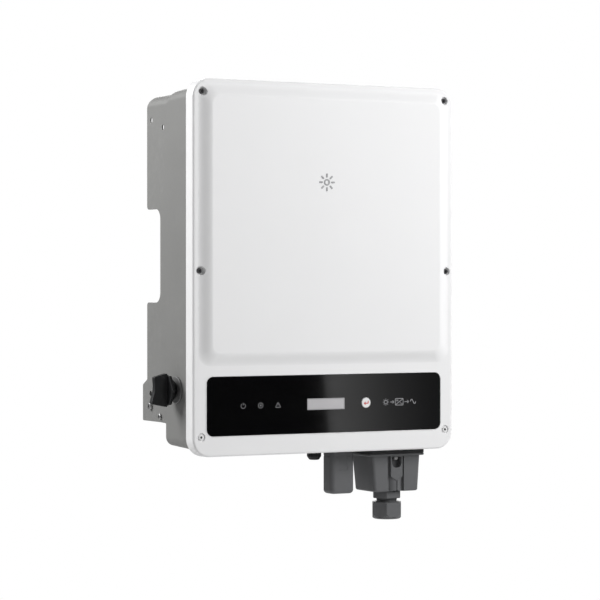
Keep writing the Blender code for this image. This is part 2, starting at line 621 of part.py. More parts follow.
def make_gland():
    place = (GLAND_X, GLAND_Y)
    body = prism("gland_body", hexagon(*place, 32.6), GLAND_HEX_BOTTOM, AC_BOTTOM - GAP, "Z",
                 "dark_plastic")
    join(body, cylinder("gland_stem_tool", place, GLAND_STEM_RADIUS, -292.0, GLAND_HEX_BOTTOM + 0.5,
                        sides=32),
         cylinder("gland_thread_tool", place, 10.0, AC_BOTTOM - 1, -256.0, sides=32))
    cut(body, cylinder("gland_bore_tool", place, GLAND_BORE, -293.0, -255.0))
    seal = [(GLAND_STEM_RADIUS, 3.3), (GLAND_STEM_RADIUS, 0.0), (GLAND_BORE, 0.0), (GLAND_BORE, 3.3)]
    turned("gland_seal", (*place, -295.6), seal, "Z", "rubber", 24, True)

    nut = prism("gland_nut", hexagon(*place, 34.4), *NUT_Z, "Z", "dark_plastic")
    height = NUT_Z[1] - NUT_Z[0]
    dome = [(0, height + 0.4), (17.6, height + 0.4), (21.5, height - 1.8), (21.5, 8.0), (19.8, 3.6),
            (16.8, 0.6), (14.5, -0.2), (0, -0.2)]
    keep_inside(nut, turned("nut_dome_tool", (*place, NUT_Z[0]), dome, "Z", None, 32))
    cut(nut, cylinder("nut_thread_tool", place, GLAND_STEM_RADIUS + 0.4, -296.0, NUT_Z[1] + 1, sides=32),
        cylinder("nut_exit_tool", place, 9.0, NUT_Z[0] - 1, -295.0))
    set_origin(nut, (*place, -291.0))


def make_com_port():
    place = (COM_X, SERVICE_Y)
    socket = [(0, 12.0), (6.0, 12.0), (6.0, -GAP), (9.5, -GAP), (9.5, -2.5), (6.1, -2.5), (6.1, -9.5),
              (4.2, -9.5), (4.2, 5.0), (0, 5.0)]
    turned("com_port_socket", (*place, PAD_Z), socket, "Z", "dark_plastic", 16)
    cap = [(0, -10.3), (6.5, -10.3), (6.5, -2.9), (8.5, -2.9), (8.5, -11.6), (6.3, -14.6), (0, -15.0)]
    turned("com_port_cap", (*place, PAD_Z), cap, "Z", "black_plastic", 24)


def make_wifi_module():
    x, y = WIFI_X, SERVICE_Y
    half_x, half_y = WIFI_SIZE[0] / 2, WIFI_SIZE[1] / 2
    module = prism("wifi_module", rectangle((x - half_x, x + half_x), (y - half_y, y + half_y), 6.0),
                   WIFI_BOTTOM, PAD_Z - 2.8, "Z", "dark_plastic")
    round_edges(module, 3.0, 3, lambda px, py, pz: pz < WIFI_BOTTOM + 0.1)
    front = y - half_y
    cut(module, box("label_recess_tool", (x - 6.2, x + 6.2), (front - 1, front + 0.6), (-240, -221)),
        box("plug_recess_tool", (x - 8.0, x + 8.0), (y - 4.6, y + 4.6), (-228, -213)))
    set_origin(module, (x, y, PAD_Z))
    socket = box("wifi_socket", (x - 10, x + 10), (y - 6, y + 6), (PAD_Z - 1, -200), "dark_plastic")
    join(socket, box("wifi_flange_tool", (x - 13, x + 13), (y - 9, y + 9), (PAD_Z - 2.5, PAD_Z - GAP)),
         box("wifi_plug_tool", (x - 7.5, x + 7.5), (y - 4, y + 4), (PAD_Z - 14, PAD_Z - 2)))


def make_dc_connectors():
    """Four panel sockets: a collar below the pad, a stem inside and a contact pin set back in the bore."""
    profile = [(0, 22.0), (6.0, 22.0), (6.0, -GAP), (9.5, -GAP), (9.5, -3.5), (7.2, -3.5), (7.2, -5.5),
               (4.2, -5.5), (4.2, 14.0), (1.6, 14.0), (1.6, 3.0), (0, 3.0)]
    names = [f"dc_connector_{pole}_{string}" for string in (1, 2) for pole in ("plus", "minus")]
    for name, x in zip(names, DC_X):
        turned(name, (x, DC_Y, PAD_Z), profile, "Z", "black_plastic", 16)
    vent = [(0, 8.0), (3.1, 8.0), (3.1, -GAP), (6.5, -GAP), (6.5, -3.0), (5.5, -4.0), (0, -4.0)]
    turned("vent_valve", (VENT_X, DC_Y, PAD_Z), vent, "Z", "black_plastic", 12)


# ---------------------------------------------------------------- electronics
def make_electronics():
    holes = [circle(x, z, 2.1, 12) for x, z in BOARD_HOLES]
    prism("main_board", rectangle(BOARD_X, BOARD_Z, 4.0, 3), *BOARD_Y, "Y", "board_green", holes)
    front = BOARD_Y[0] - GAP
    can = [(0, 0), (15.0, 0), (15.0, -34.5), (14.3, -35.2), (14.3, -36.2), (15.0, -37.0), (15.0, -40.0),
           (0, -40.0)]
    for i in range(4):
        turned(f"dc_link_capacitor_{i + 1}", (-78.0 + 34.0 * i, front, 160.0), can, "Y", "component_blue", 16)
    for i, x in enumerate((-78.0, -18.0)):
        box(f"boost_inductor_{i + 1}", (x - 25, x + 25), (front - 38, front), (78, 124), "core_grey", 2.0)
    ring = [(26.0, 0), (27.0, -1), (27.0, -23), (26.0, -24), (13.0, -24), (12.0, -23), (12.0, -1),
            (13.0, 0)]
    for i, x in enumerate((52.0, 114.0)):
        turned(f"output_inductor_{i + 1}", (x, front, 100.0), ring, "Y", "copper", 20, True)
    choke = [(r * 0.74, h * 0.8) for r, h in ring]
    turned("emi_choke", (112.0, front, -88.0), choke, "Y", "copper", 16, True)
    for i, z in enumerate((-40.0, -10.0)):
        box(f"grid_relay_{i + 1}", (96, 126), (front - 16, front), (z - 7, z + 7), "black_plastic", 0.6)
    box("power_module", (-50, 50), (SINK_BASE_Y[0] - GAP - 20.0, SINK_BASE_Y[0] - GAP), (-20, 40),
        "core_grey", 1.0)

    prism("control_board", rectangle((-96, 50), (-124, -60), 2.0, 3), -113.6, -112.0, "Y", "board_green",
          [circle(x, z, 1.6, 12) for x in (-91, 45) for z in (-119, -65)])
    y0, y1, y2 = -113.9, -126.0, -134.6
    z0, z1, t = -100.0, -158.0, 0.4
    ribbon = [(y0, z0 + t), (y1 - t, z0 + t), (y1 - t, z1 + t), (y2, z1 + t), (y2, z1 - t), (y1 + t, z1 - t),
              (y1 + t, z0 - t), (y0, z0 - t)]
    prism("ribbon_cable", ribbon, -26.0, -6.0, "X", "lcd_grey")


# ---------------------------------------------------------------- wall bracket and hanging rail
def make_bracket():
    holes = [circle(x, z, 4.0, 16) for x in (-95, 95) for z in (-60, 10, 80, 128)]
    holes += [rectangle((x - 22, x + 22), z_range, 5.0, 3) for x in (-55, 55)
              for z_range in ((35, 110), (-130, -35))]
    bracket = prism("wall_bracket", rectangle((-120, 120), (-170, 149), 3.0, 3), -2.5, 0.0, "Y",
                    "zinc_steel", holes)
    arm = EAR_X[1] + 0.6
    join(bracket, prism("cross_arm_tool", rectangle((-arm, arm), (-178, -140), 2.0, 3), -2.5, 0.0, "Y"))
    gutter = [(-9.5, 147.5), (-0.6, 147.5), (-0.6, 150.0), (-7.0, 150.0), (-7.0, 163.0), (-9.5, 163.0)]
    join(bracket, prism("gutter_tool", gutter, -118, 118, "X"))
    slot = 2.8
    ear = [(-1.0, -176), (-1.0, -142), (-18, -145), (LOCK_Y + slot, -147), (LOCK_Y + slot, LOCK_Z)]
    ear += [(LOCK_Y + slot * math.cos(angle), LOCK_Z + slot * math.sin(angle))
            for angle in (-math.pi * step / 8 for step in range(1, 8))]
    ear += [(LOCK_Y - slot, LOCK_Z), (LOCK_Y - slot, -147), (-32, -147), (-32, -176)]
    join(bracket, prism("ear_left_tool", ear, -EAR_X[1], -EAR_X[0], "X"),
         prism("ear_right_tool", ear, EAR_X[0], EAR_X[1], "X"))

    rail = [(-18.0, 118.0), (-15.5, 118.0), (-15.5, 165.8), (-5.5, 165.8), (-5.5, 150.4), (-3.0, 150.4),
            (-3.0, 168.3), (-18.0, 168.3)]
    prism("hanger_rail", rail, -114, 114, "X", "zinc_steel")


def make_side_screws():
    """Two lock screws through the feet into the bracket's slots, and the earth screw on the left."""
    profile = [(0, 12.0), (2.5, 12.0), (2.5, 0.0), (4.4, 0.0), (4.4, -1.6), (3.4, -2.6), (1.6, -2.6),
               (1.6, -1.2), (0, -1.2)]
    turned("lock_screw_left", (-WING_OUTER - GAP, LOCK_Y, LOCK_Z), profile, "X", "steel", 12)
    mirrored = [(radius, -height) for radius, height in reversed(profile)]
    turned("lock_screw_right", (WING_OUTER + GAP, LOCK_Y, LOCK_Z), mirrored, "X", "steel", 12)
    earth = [(radius * 0.78, height) for radius, height in profile]
    turned("earth_screw", (-WING_OUTER - GAP, EARTH_Y, EARTH_Z), earth, "X", "steel", 12)


clear_scene()
PARTS = new_collection("string_inverter")
CUTTERS = new_collection("cutters")
make_cover()
make_cover_screws()
make_cover_gasket()
make_display()
make_housing()
make_heat_sink()
make_switch()
make_ac_cover()
make_gland()
make_com_port()
make_wifi_module()
make_dc_connectors()
make_electronics()
make_bracket()
make_side_screws()
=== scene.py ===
"""Looks of the wall-hung string inverter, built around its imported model.

Every visible casing, cover, screw and port is modelled again here with its real edges and small
details, and rides on the body of the CAD node that it stands for.  The pieces inside the housing
stay as packed and get their own materials.

Frame: +X right, +Y into the wall, +Z up, with the wall at Y = 0.  Sizes below are in millimetres.
"""
from math import cos, pi, radians, sin, sqrt, tan

import bmesh
import bpy
from mathutils import Matrix, Vector


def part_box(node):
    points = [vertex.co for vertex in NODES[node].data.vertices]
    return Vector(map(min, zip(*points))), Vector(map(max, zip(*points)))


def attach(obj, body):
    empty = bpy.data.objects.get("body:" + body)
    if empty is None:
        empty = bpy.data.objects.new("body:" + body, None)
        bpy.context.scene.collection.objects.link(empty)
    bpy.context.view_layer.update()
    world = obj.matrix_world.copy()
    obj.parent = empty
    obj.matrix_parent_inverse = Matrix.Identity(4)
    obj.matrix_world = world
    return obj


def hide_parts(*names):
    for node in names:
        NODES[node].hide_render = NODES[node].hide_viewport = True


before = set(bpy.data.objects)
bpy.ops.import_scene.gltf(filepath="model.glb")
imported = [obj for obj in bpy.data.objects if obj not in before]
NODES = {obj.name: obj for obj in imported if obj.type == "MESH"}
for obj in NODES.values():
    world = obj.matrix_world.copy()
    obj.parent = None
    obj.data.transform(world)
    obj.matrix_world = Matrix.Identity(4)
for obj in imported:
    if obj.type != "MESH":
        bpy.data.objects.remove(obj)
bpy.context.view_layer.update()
MM = 0.001
STATIC = "inverter"                # the body that most pieces ride on

# ---- sizes of the looks
FACE_Y = -146.5                    # flat lower face of the cover
COVER_CORNER = 21.0
COVER_WALL = 3.0
COVER_EDGE = 2.8                   # rounding between the cover's face and its rim
COVER_INNER_Y = -142.5
PILLOW_BASE = (167.5, -113.0, 210.5)     # half width, lowest Z, highest Z of the raised face
PILLOW_TOP = (150.5, -97.0, 195.5)
PILLOW_CORNERS = (16.0, 9.0)
SHALLOW_SCREWS = ("cover_screw_5", "cover_screw_6")
MARK_RELIEF = 0.5                  # how far the sun mark stands proud of the raised face

BOX_FRONT = (170.0, -210.4, 208.2)       # half width, lowest Z, highest Z of the housing's box
BOX_REAR = (168.8, -207.0, 205.6)
BOX_FRONT_Y = -139.5
BOX_REAR_Y = -64.5
BOX_FRONT_CORNERS = (14.0, 14.0, 13.0, 13.0)
BOX_REAR_CORNERS = (10.5, 10.5, 13.0, 13.0)
BOX_WALL = 3.2
BOX_FLOOR_Y = -68.5
WING_OUTER = 169.0
WING_WALL = 3.5
WING_TOP = 203.0
WING_BOTTOM = -180.5
WING_REAR_Y = -12.5
WING_CORNER = 13.0
FOOT_REAR_Y = -0.4
NOTCH_Z = (-40.2, 69.4)
NOTCH_Y = -49.0
PAD_Z = -212.0                     # flat pads that the ports sit on
PORT_PADS = [(-140.0, -12.0), (-6.0, 62.0), (67.0, 150.0)]
PORT_OPENING = (PAD_Z - 1, -200)   # how far the openings for the ports reach up
LEFT_WALL = (-175, -160)           # range that cuts through the housing's left wall only
SERVICE_Y = -102.5                 # line of the ports below the housing

WINDOW_Z = -158.5
WINDOW_CORNER = 8.0
BUTTON_X = 53.4
SWITCH_Y, SWITCH_Z = -95.5, -140.8
AC_X, AC_Y = 108.4, -99.8          # middle of the AC terminal cover
GLAND_Y = -101.0
LOCK_Y, LOCK_Z = -24.0, -162.5
WING_HOLES = [(-24.9, 174.4), (-57.3, 164.5), (-22.6, -147.8)]
DC_Y = -92.0
BRACKET_THICKNESS, BEND_RADIUS = 2.5, 2.2
FIN_COUNT, FIN_PITCH, FIN_THICKNESS = 26, 11.9, 2.2


def node_box(node):
    """Lowest and highest corner of a CAD node, in millimetres."""
    low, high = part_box(node)
    return Vector(low) / MM, Vector(high) / MM


def node_middle(node):
    low, high = node_box(node)
    return (low + high) / 2


# ---- outlines
def fillet(points, radius, steps=8):
    """Round the corners of an outline.  radius is one number or one for each corner."""
    count = len(points)
    radii = radius if isinstance(radius, (list, tuple)) else [radius] * count
    outline = []
    for i in range(count):
        corner = Vector(points[i])
        if radii[i] <= 0:
            outline.append(tuple(corner))
            continue
        before = (Vector(points[i - 1]) - corner).normalized()
        after = (Vector(points[(i + 1) % count]) - corner).normalized()
        half = before.angle(after) / 2
        centre = corner + (before + after).normalized() * radii[i] / sin(half)
        start = corner + before * radii[i] / tan(half) - centre
        end = corner + after * radii[i] / tan(half) - centre
        sweep = start.angle_signed(end)
        for step in range(steps + 1):
            outline.append(tuple(centre + Matrix.Rotation(-sweep * step / steps, 2) @ start))
    return outline


def rectangle(u_range, v_range, radius=0.0, steps=8):
    (u0, u1), (v0, v1) = u_range, v_range
    corners = [(u0, v0), (u1, v0), (u1, v1), (u0, v1)]
    return fillet(corners, radius, steps) if radius else corners


def circle(u, v, radius, sides=32):
    turns = [2 * pi * i / sides for i in range(sides)]
    return [(u + radius * cos(turn), v + radius * sin(turn)) for turn in turns]


def hexagon(u, v, across_flats, rounding):
    return fillet(circle(u, v, across_flats / sqrt(3), 6), rounding, 4)


def profile(points, radii):
    """Outline of a turned piece with rounded corners; its two ends stay sharp."""
    return fillet(points, [0, *radii, 0], 5)


def lift(axis, u, v, w):
    """Point of an outline at (u, v), w along the axis: (Y, Z) for X, (X, Z) for Y, (X, Y) for Z."""
    return Vector({"X": (w, u, v), "Y": (u, w, v), "Z": (u, v, w)}[axis])


def layer(outline, w, axis="Z"):
    """An outline as a ring of points in space, w along the axis."""
    return [lift(axis, u, v, w) for u, v in outline]


def edge_round(radius, steps):
    """(inset, drop) pairs of a rounded edge, from the side to the end face."""
    turns = [pi / 2 * i / steps for i in range(steps + 1)]
    return [(radius * (1 - cos(turn)), radius * (1 - sin(turn))) for turn in turns]


# ---- solids
def add_object(name, data):
    obj = bpy.data.objects.new(name, data)
    bpy.context.scene.collection.objects.link(obj)
    return obj


def new_object(name, bm):
    bmesh.ops.remove_doubles(bm, verts=bm.verts, dist=2e-7)
    bmesh.ops.recalc_face_normals(bm, faces=bm.faces)
    mesh = bpy.data.meshes.new(name)
    bm.to_mesh(mesh)
    bm.free()
    return add_object(name, mesh)


def loft(name, rings, closed=False):
    """Skin a row of equal rings of points; open rows get a face at each end."""
    bm = bmesh.new()
    loops = [[bm.verts.new(Vector(point) * MM) for point in ring] for ring in rings]
    pairs = list(zip(loops, loops[1:]))
    if closed:
        pairs.append((loops[-1], loops[0]))
    for a, b in pairs:
        for i in range(len(a)):
            bm.faces.new((a[i - 1], a[i], b[i], b[i - 1]))
    if not closed:
        bm.faces.new(loops[0])
        bm.faces.new(loops[-1][::-1])
    return new_object(name, bm)


def prism(name, outline, low, high, axis="Z"):
    return loft(name, [layer(outline, w, axis) for w in (low, high)])


def bar(u_range, v_range, w_range, radius=0.0, axis="Z", steps=8):
    """Rectangular tool for cuts and joins."""
    return prism("bar_tool", rectangle(u_range, v_range, radius, steps), *w_range, axis)


def rod(u, v, radius, w_range, axis="Z", sides=32):
    """Round tool for cuts."""
    return prism("rod_tool", circle(u, v, radius, sides), *w_range, axis)


def pillow_prism(name, outline_at, low, high, edge, axis="Z", both=True):
    """Prism whose end edges are rounded; outline_at(inset) gives its outline."""
    rounding = edge_round(edge, 4)
    start = [(inset, low + drop) for inset, drop in reversed(rounding)]
    levels = (start if both else [(0.0, low)]) + [(inset, high - drop) for inset, drop in rounding]
    return loft(name, [layer(outline_at(inset), w, axis) for inset, w in levels])


def turned(name, points, place=(0, 0, 0), axis="Z", sides=48, closed=False):
    """Turn (radius, height) points about an axis through place."""
    place = Vector(place)
    rings = [layer(circle(0, 0, max(radius, 0.02), sides), height, axis) for radius, height in points]
    return loft(name, [[place + point for point in ring] for ring in rings], closed)


def bake(obj):
    """Replace an object's mesh by what its modifiers make of it."""
    graph = bpy.context.evaluated_depsgraph_get()
    mesh = bpy.data.meshes.new_from_object(obj.evaluated_get(graph))
    old = obj.data
    obj.modifiers.clear()
    obj.data = mesh
    bpy.data.meshes.remove(old)


def combine(target, operation, tools):
    for tool in tools:
        modifier = target.modifiers.new(operation, "BOOLEAN")
        modifier.operation = operation
        modifier.solver = "EXACT"
        modifier.object = tool
    bake(target)
    for tool in tools:
        bpy.data.objects.remove(tool, do_unlink=True)
    return target


def cut(target, *tools):
    return combine(target, "DIFFERENCE", tools)


def join(target, *tools):
    return combine(target, "UNION", tools)


def soften(obj, width, segments=3, angle=40.0):
    """Round an object's sharp edges."""
    bm = bmesh.new()
    bm.from_mesh(obj.data)
    bmesh.ops.remove_doubles(bm, verts=bm.verts, dist=0.01 * MM)
    bmesh.ops.dissolve_limit(bm, angle_limit=radians(1.0), verts=bm.verts, edges=bm.edges)
    bm.to_mesh(obj.data)
    bm.free()
    modifier = obj.modifiers.new("edges", "BEVEL")
    modifier.width = width * MM
    modifier.segments = segments
    modifier.limit_method = "ANGLE"
    modifier.angle_limit = radians(angle)
    modifier.use_clamp_overlap = False
    modifier.miter_outer = "MITER_ARC"
    bake(obj)
    return obj


def aim(obj, place, outward):
    """Turn a piece made along +Z to the outward direction and move it to place (millimetres)."""
    turn = Vector((0, 0, 1)).rotation_difference(Vector(outward)).to_matrix().to_4x4()
    obj.data.transform(Matrix.Translation(Vector(place) * MM) @ turn)
    return obj


def put(obj, material, node=None, body=STATIC, sharp=38.0):
    """Shade and paint a piece and make it ride on its body, in place of its CAD node if it has one."""
    obj.data.materials.clear()
    obj.data.materials.append(material)
    obj.data.shade_smooth()
    obj.data.set_sharp_from_angle(angle=radians(sharp))
    weighted = obj.modifiers.new("normals", "WEIGHTED_NORMAL")
    weighted.keep_sharp = True
    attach(obj, body)
    if node:
        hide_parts(node)
    return obj


# ---- materials
def fill(node, values):
    for name, value in values.items():
        node.inputs[name.replace("_", " ")].default_value = value


def add_node(tree, kind, **values):
    """New shader node with some of its inputs set."""
    node = tree.nodes.new("ShaderNode" + kind)
    fill(node, values)
    return node


class Look:
    """One procedural material: shader nodes fed by the piece's own coordinates, in metres."""

    def __init__(self, name):
        self.material = bpy.data.materials.new(name)
        self.material.use_nodes = True
        self.tree = self.material.node_tree
        self.shader = self.tree.nodes["Principled BSDF"]
        self.place = self.node("TexCoord").outputs["Object"]

    def link(self, source, target):
        self.tree.links.new(source, target)

    def set(self, **values):
        fill(self.shader, values)

    def node(self, kind, **values):
        return add_node(self.tree, kind, **values)

    def stretch(self, scale):
        """The piece's coordinates, scaled by (x, y, z)."""
        node = self.node("Mapping", Scale=scale)
        self.link(self.place, node.inputs["Vector"])
        return node.outputs["Vector"]

    def noise(self, scale, detail=3.0, place=None, roughness=0.55):
        node = self.node("TexNoise", Scale=scale, Detail=detail, Roughness=roughness)
        self.link(place or self.place, node.inputs["Vector"])
        return node.outputs["Fac"]

    def cells(self, scale, feature="F1"):
        node = self.node("TexVoronoi", Scale=scale)
        node.feature = feature
        self.link(self.place, node.inputs["Vector"])
        return node.outputs["Distance"]

    def wave(self, scale, direction, distortion=0.0):
        node = self.node("TexWave", Scale=scale, Distortion=distortion)
        node.bands_direction = direction
        self.link(self.place, node.inputs["Vector"])
        return node.outputs["Fac"]

    def remap(self, value, low=0.3, high=0.7, to_low=0.0, to_high=1.0):
        node = self.node("MapRange", From_Min=low, From_Max=high, To_Min=to_low, To_Max=to_high)
        self.link(value, node.inputs["Value"])
        return node.outputs["Result"]

    def edges(self, low=0.53, high=0.62):
        """1 along convex edges, 0 elsewhere."""
        return self.remap(self.node("NewGeometry").outputs["Pointiness"], low, high)

    def times(self, a, b):
        node = self.node("Math")
        node.operation = "MULTIPLY"
        self.link(a, node.inputs[0])
        if isinstance(b, float):
            node.inputs[1].default_value = b
        else:
            self.link(b, node.inputs[1])
        return node.outputs["Value"]

    def mix(self, factor, a, b):
        """Colour between a and b; each is a colour or a colour output."""
        node = self.node("Mix")
        node.data_type = "RGBA"
        self.link(factor, node.inputs["Factor"])
        for socket, value in ((node.inputs[6], a), (node.inputs[7], b)):
            if isinstance(value, tuple):
                socket.default_value = (*value, 1.0)
            else:
                self.link(value, socket)
        return node.outputs[2]

    def colour(self, value):
        self.link(value, self.shader.inputs["Base Color"])

    def rough(self, value, to_low, to_high, low=0.3):
        """Roughness that follows a noise."""
        self.link(self.remap(value, low, 0.7, to_low, to_high), self.shader.inputs["Roughness"])

    def bumps(self, *layers):
        """Stack bump layers of (height, strength, depth in millimetres)."""
        normal = None
        for height, strength, depth in layers:
            node = self.node("Bump", Strength=strength, Distance=depth * MM)
            self.link(height, node.inputs["Height"])
            if normal:
                self.link(normal, node.inputs["Normal"])
            normal = node.outputs["Normal"]
        self.link(normal, self.shader.inputs["Normal"])


def shade(colour, factor):
    return tuple(min(1.0, channel * factor) for channel in colour)


def coated(name, colour, roughness, grain=900.0, relief=0.05, wear=(0.6, 0.6, 0.6), worn=0.0, coat=0.0,
           metallic=0.0, mottle=0.04, sheen=0.5):
    """Painted, powder coated or moulded surface: mottled colour, smudges, fine grain and worn edges."""
    look = Look(name)
    broad = look.noise(9.0, 4.0)
    fine = look.noise(grain, 3.0)
    tone = look.mix(look.remap(broad), shade(colour, 1 - mottle), shade(colour, 1 + mottle))
    speck = look.mix(look.remap(fine, 0.35, 0.65, 0.0, 0.35), tone, shade(colour, 1 - 2 * mottle))
    if worn:
        rubbed = look.times(look.edges(), look.remap(look.noise(120.0, 4.0), 0.45, 0.7, 0.0, worn))
        speck = look.mix(rubbed, speck, wear)
    look.colour(speck)
    look.rough(look.noise(28.0, 5.0), roughness - 0.05, roughness + 0.06)
    look.set(Metallic=metallic, Coat_Weight=coat, Coat_Roughness=0.12, Specular_IOR_Level=sheen)
    look.bumps((fine, 0.5, relief), (look.noise(grain * 0.24, 2.0), 0.35, relief * 1.6))
    return look.material


def bare_metal(name, colour, roughness, streaks=(60.0, 60.0, 4.0), relief=0.03, tarnish=0.12):
    """Drawn or machined metal: fine lines along one direction, patches of tarnish, brighter edges."""
    look = Look(name)
    lines = look.noise(30.0, 6.0, look.stretch(streaks), 0.7)
    patches = look.noise(35.0, 5.0)
    tone = look.mix(look.remap(lines), shade(colour, 0.86), shade(colour, 1.1))
    tone = look.mix(look.remap(patches, 0.5, 0.75, 0.0, 0.5), tone, shade(colour, 1 - 2 * tarnish))
    tone = look.mix(look.times(look.edges(), 0.5), tone, shade(colour, 1.35))
    look.colour(tone)
    look.rough(patches, roughness - 0.06, roughness + tarnish)
    look.set(Metallic=1.0)
    look.bumps((lines, 0.5, relief))
    return look.material


def zinc_sheet(name, colour=(0.58, 0.585, 0.57)):
    """Zinc plated sheet: soft spangle, faint rolling lines and a few dull spots."""
    look = Look(name)
    spangle = look.cells(160.0, "SMOOTH_F1")
    rolling = look.noise(30.0, 4.0, look.stretch((8.0, 8.0, 0.6)))
    tone = look.mix(look.remap(spangle, 0.0, 0.8), shade(colour, 0.9), shade(colour, 1.12))
    tone = look.mix(look.remap(look.noise(26.0, 5.0), 0.55, 0.75, 0.0, 0.6), tone, (0.5, 0.49, 0.44))
    look.colour(tone)
    look.rough(rolling, 0.3, 0.46)
    look.set(Metallic=1.0)
    look.bumps((rolling, 0.3, 0.04), (spangle, 0.15, 0.03))
    return look.material


def gloss_panel(name):
    """Black printed acrylic under a clear hard coat, with faint wipe marks."""
    look = Look(name)
    wipes = look.noise(14.0, 5.0, look.stretch((1.0, 1.0, 5.0)))
    look.colour(look.mix(look.remap(look.noise(500.0), 0.4, 0.6), (0.0022, 0.0022, 0.0025),
                         (0.0032, 0.0032, 0.0035)))
    look.rough(wipes, 0.05, 0.085, 0.35)
    look.set(Coat_Weight=0.5, Coat_Roughness=0.03, IOR=1.49)
    look.bumps((look.noise(30.0, 2.0), 0.05, 0.05))
    return look.material


def display_glass(name):
    """Unlit reflective display: a fine dot grid over warm grey."""
    look = Look(name)
    rows, columns = look.wave(620.0, "Z"), look.wave(620.0, "X")
    grid = look.times(rows, columns)
    tone = look.mix(look.remap(grid, 0.2, 0.8), (0.45, 0.44, 0.455), (0.52, 0.51, 0.52))
    look.colour(look.mix(look.remap(look.noise(18.0), 0.3, 0.7, 0.0, 0.35), tone, (0.55, 0.55, 0.55)))
    look.rough(look.noise(60.0), 0.12, 0.2)
    look.set(Coat_Weight=0.8, Coat_Roughness=0.04)
    look.bumps((grid, 0.1, 0.02))
    return look.material


def board(name, colour=(0.015, 0.11, 0.05)):
    """Circuit board: solder mask over tracks, with tinned pads."""
    look = Look(name)
    tracks = look.cells(110.0, "DISTANCE_TO_EDGE")
    masked = look.mix(look.remap(tracks, 0.03, 0.06), shade(colour, 1.9), colour)
    pads = look.remap(look.cells(170.0), 0.16, 0.2, 1.0, 0.0)
    look.colour(look.mix(pads, masked, (0.62, 0.6, 0.55)))
    look.rough(look.noise(40.0), 0.32, 0.5)
    look.set(Coat_Weight=0.3)
    look.bumps((tracks, 0.4, 0.05))
    return look.material


def winding(name, direction="Z"):
    """Enamelled copper wire wound close together."""
    look = Look(name)
    turns = look.wave(160.0, direction, 1.2)
    look.colour(look.mix(look.remap(turns, 0.0, 1.0), (0.25, 0.08, 0.02), (0.72, 0.33, 0.13)))
    look.rough(look.noise(90.0), 0.25, 0.4)
    look.set(Metallic=0.8, Coat_Weight=0.6)
    look.bumps((turns, 1.0, 0.6))
    return look.material


WHITE_COATING = coated("white_powder_coat", (0.83, 0.83, 0.835), 0.36, 850.0, 0.03, (0.62, 0.62, 0.62), 0.25,
                       0.25, mottle=0.008)
GREY_COATING = coated("grey_casting_paint", (0.205, 0.205, 0.2), 0.46, 620.0, 0.08, (0.4, 0.4, 0.39), 0.5,
                      0.05, mottle=0.025, sheen=0.4)
DARK_POLYMER = coated("dark_grey_polymer", (0.125, 0.127, 0.131), 0.46, 1500.0, 0.03, (0.2, 0.2, 0.205), 0.5,
                      mottle=0.05, sheen=0.25)
BLACK_POLYMER = coated("black_polymer", (0.008, 0.0084, 0.0092), 0.42, 1500.0, 0.025, (0.05, 0.05, 0.053),
                       0.6, mottle=0.08, sheen=0.3)
BEZEL_POLYMER = coated("bezel_polymer", (0.13, 0.13, 0.13), 0.5, 1500.0, 0.03, (0.2, 0.2, 0.2), 0.4,
                       mottle=0.05)
HEAD_WHITE = coated("white_screw_cap", (0.8, 0.8, 0.8), 0.3, 1500.0, 0.01, (0.45, 0.45, 0.45), 0.4,
                    mottle=0.02)
TIP_POLYMER = coated("grey_grip_end", (0.15, 0.15, 0.155), 0.45, 1500.0, 0.03, (0.3, 0.3, 0.3), 0.6,
                     mottle=0.05)
BUTTON_WHITE = coated("white_button", (0.8, 0.8, 0.8), 0.22, 1800.0, 0.01, (0.7, 0.7, 0.7), 0.2, 0.5,
                      mottle=0.01)
PRINT_RED = coated("red_print", (0.55, 0.012, 0.01), 0.35, 2500.0, 0.01, mottle=0.05)
PRINT_GREY = coated("light_grey_print", (0.3, 0.3, 0.31), 0.4, 2500.0, 0.01, mottle=0.05)
RUBBER = coated("seal_rubber", (0.018, 0.018, 0.019), 0.72, 1100.0, 0.05, (0.07, 0.07, 0.07), 0.5, mottle=0.1)
MARK_METAL = coated("satin_mark", (0.42, 0.42, 0.43), 0.3, 1800.0, 0.01, (0.7, 0.7, 0.7), 0.5, 0.3,
                    metallic=0.3)
SCREW_STEEL = bare_metal("stainless_screw", (0.42, 0.42, 0.42), 0.3, (90.0, 90.0, 90.0), 0.02, 0.2)
DARK_SCREW = bare_metal("blackened_screw", (0.16, 0.16, 0.165), 0.34, (90.0, 90.0, 90.0), 0.02, 0.2)
SINK_METAL = bare_metal("extruded_aluminium", (0.6, 0.61, 0.62), 0.36, (70.0, 70.0, 1.5), 0.05)
ZINC = zinc_sheet("zinc_plated_sheet")
PANEL = gloss_panel("black_acrylic")
GLASS = display_glass("unlit_display")


# ---- front cover
def ring(half_x, low_z, high_z, radius, y, steps=10):
    """Rounded rectangle at one depth, as points in space."""
    return layer(rectangle((-half_x, half_x), (low_z, high_z), radius, steps), y, "Y")


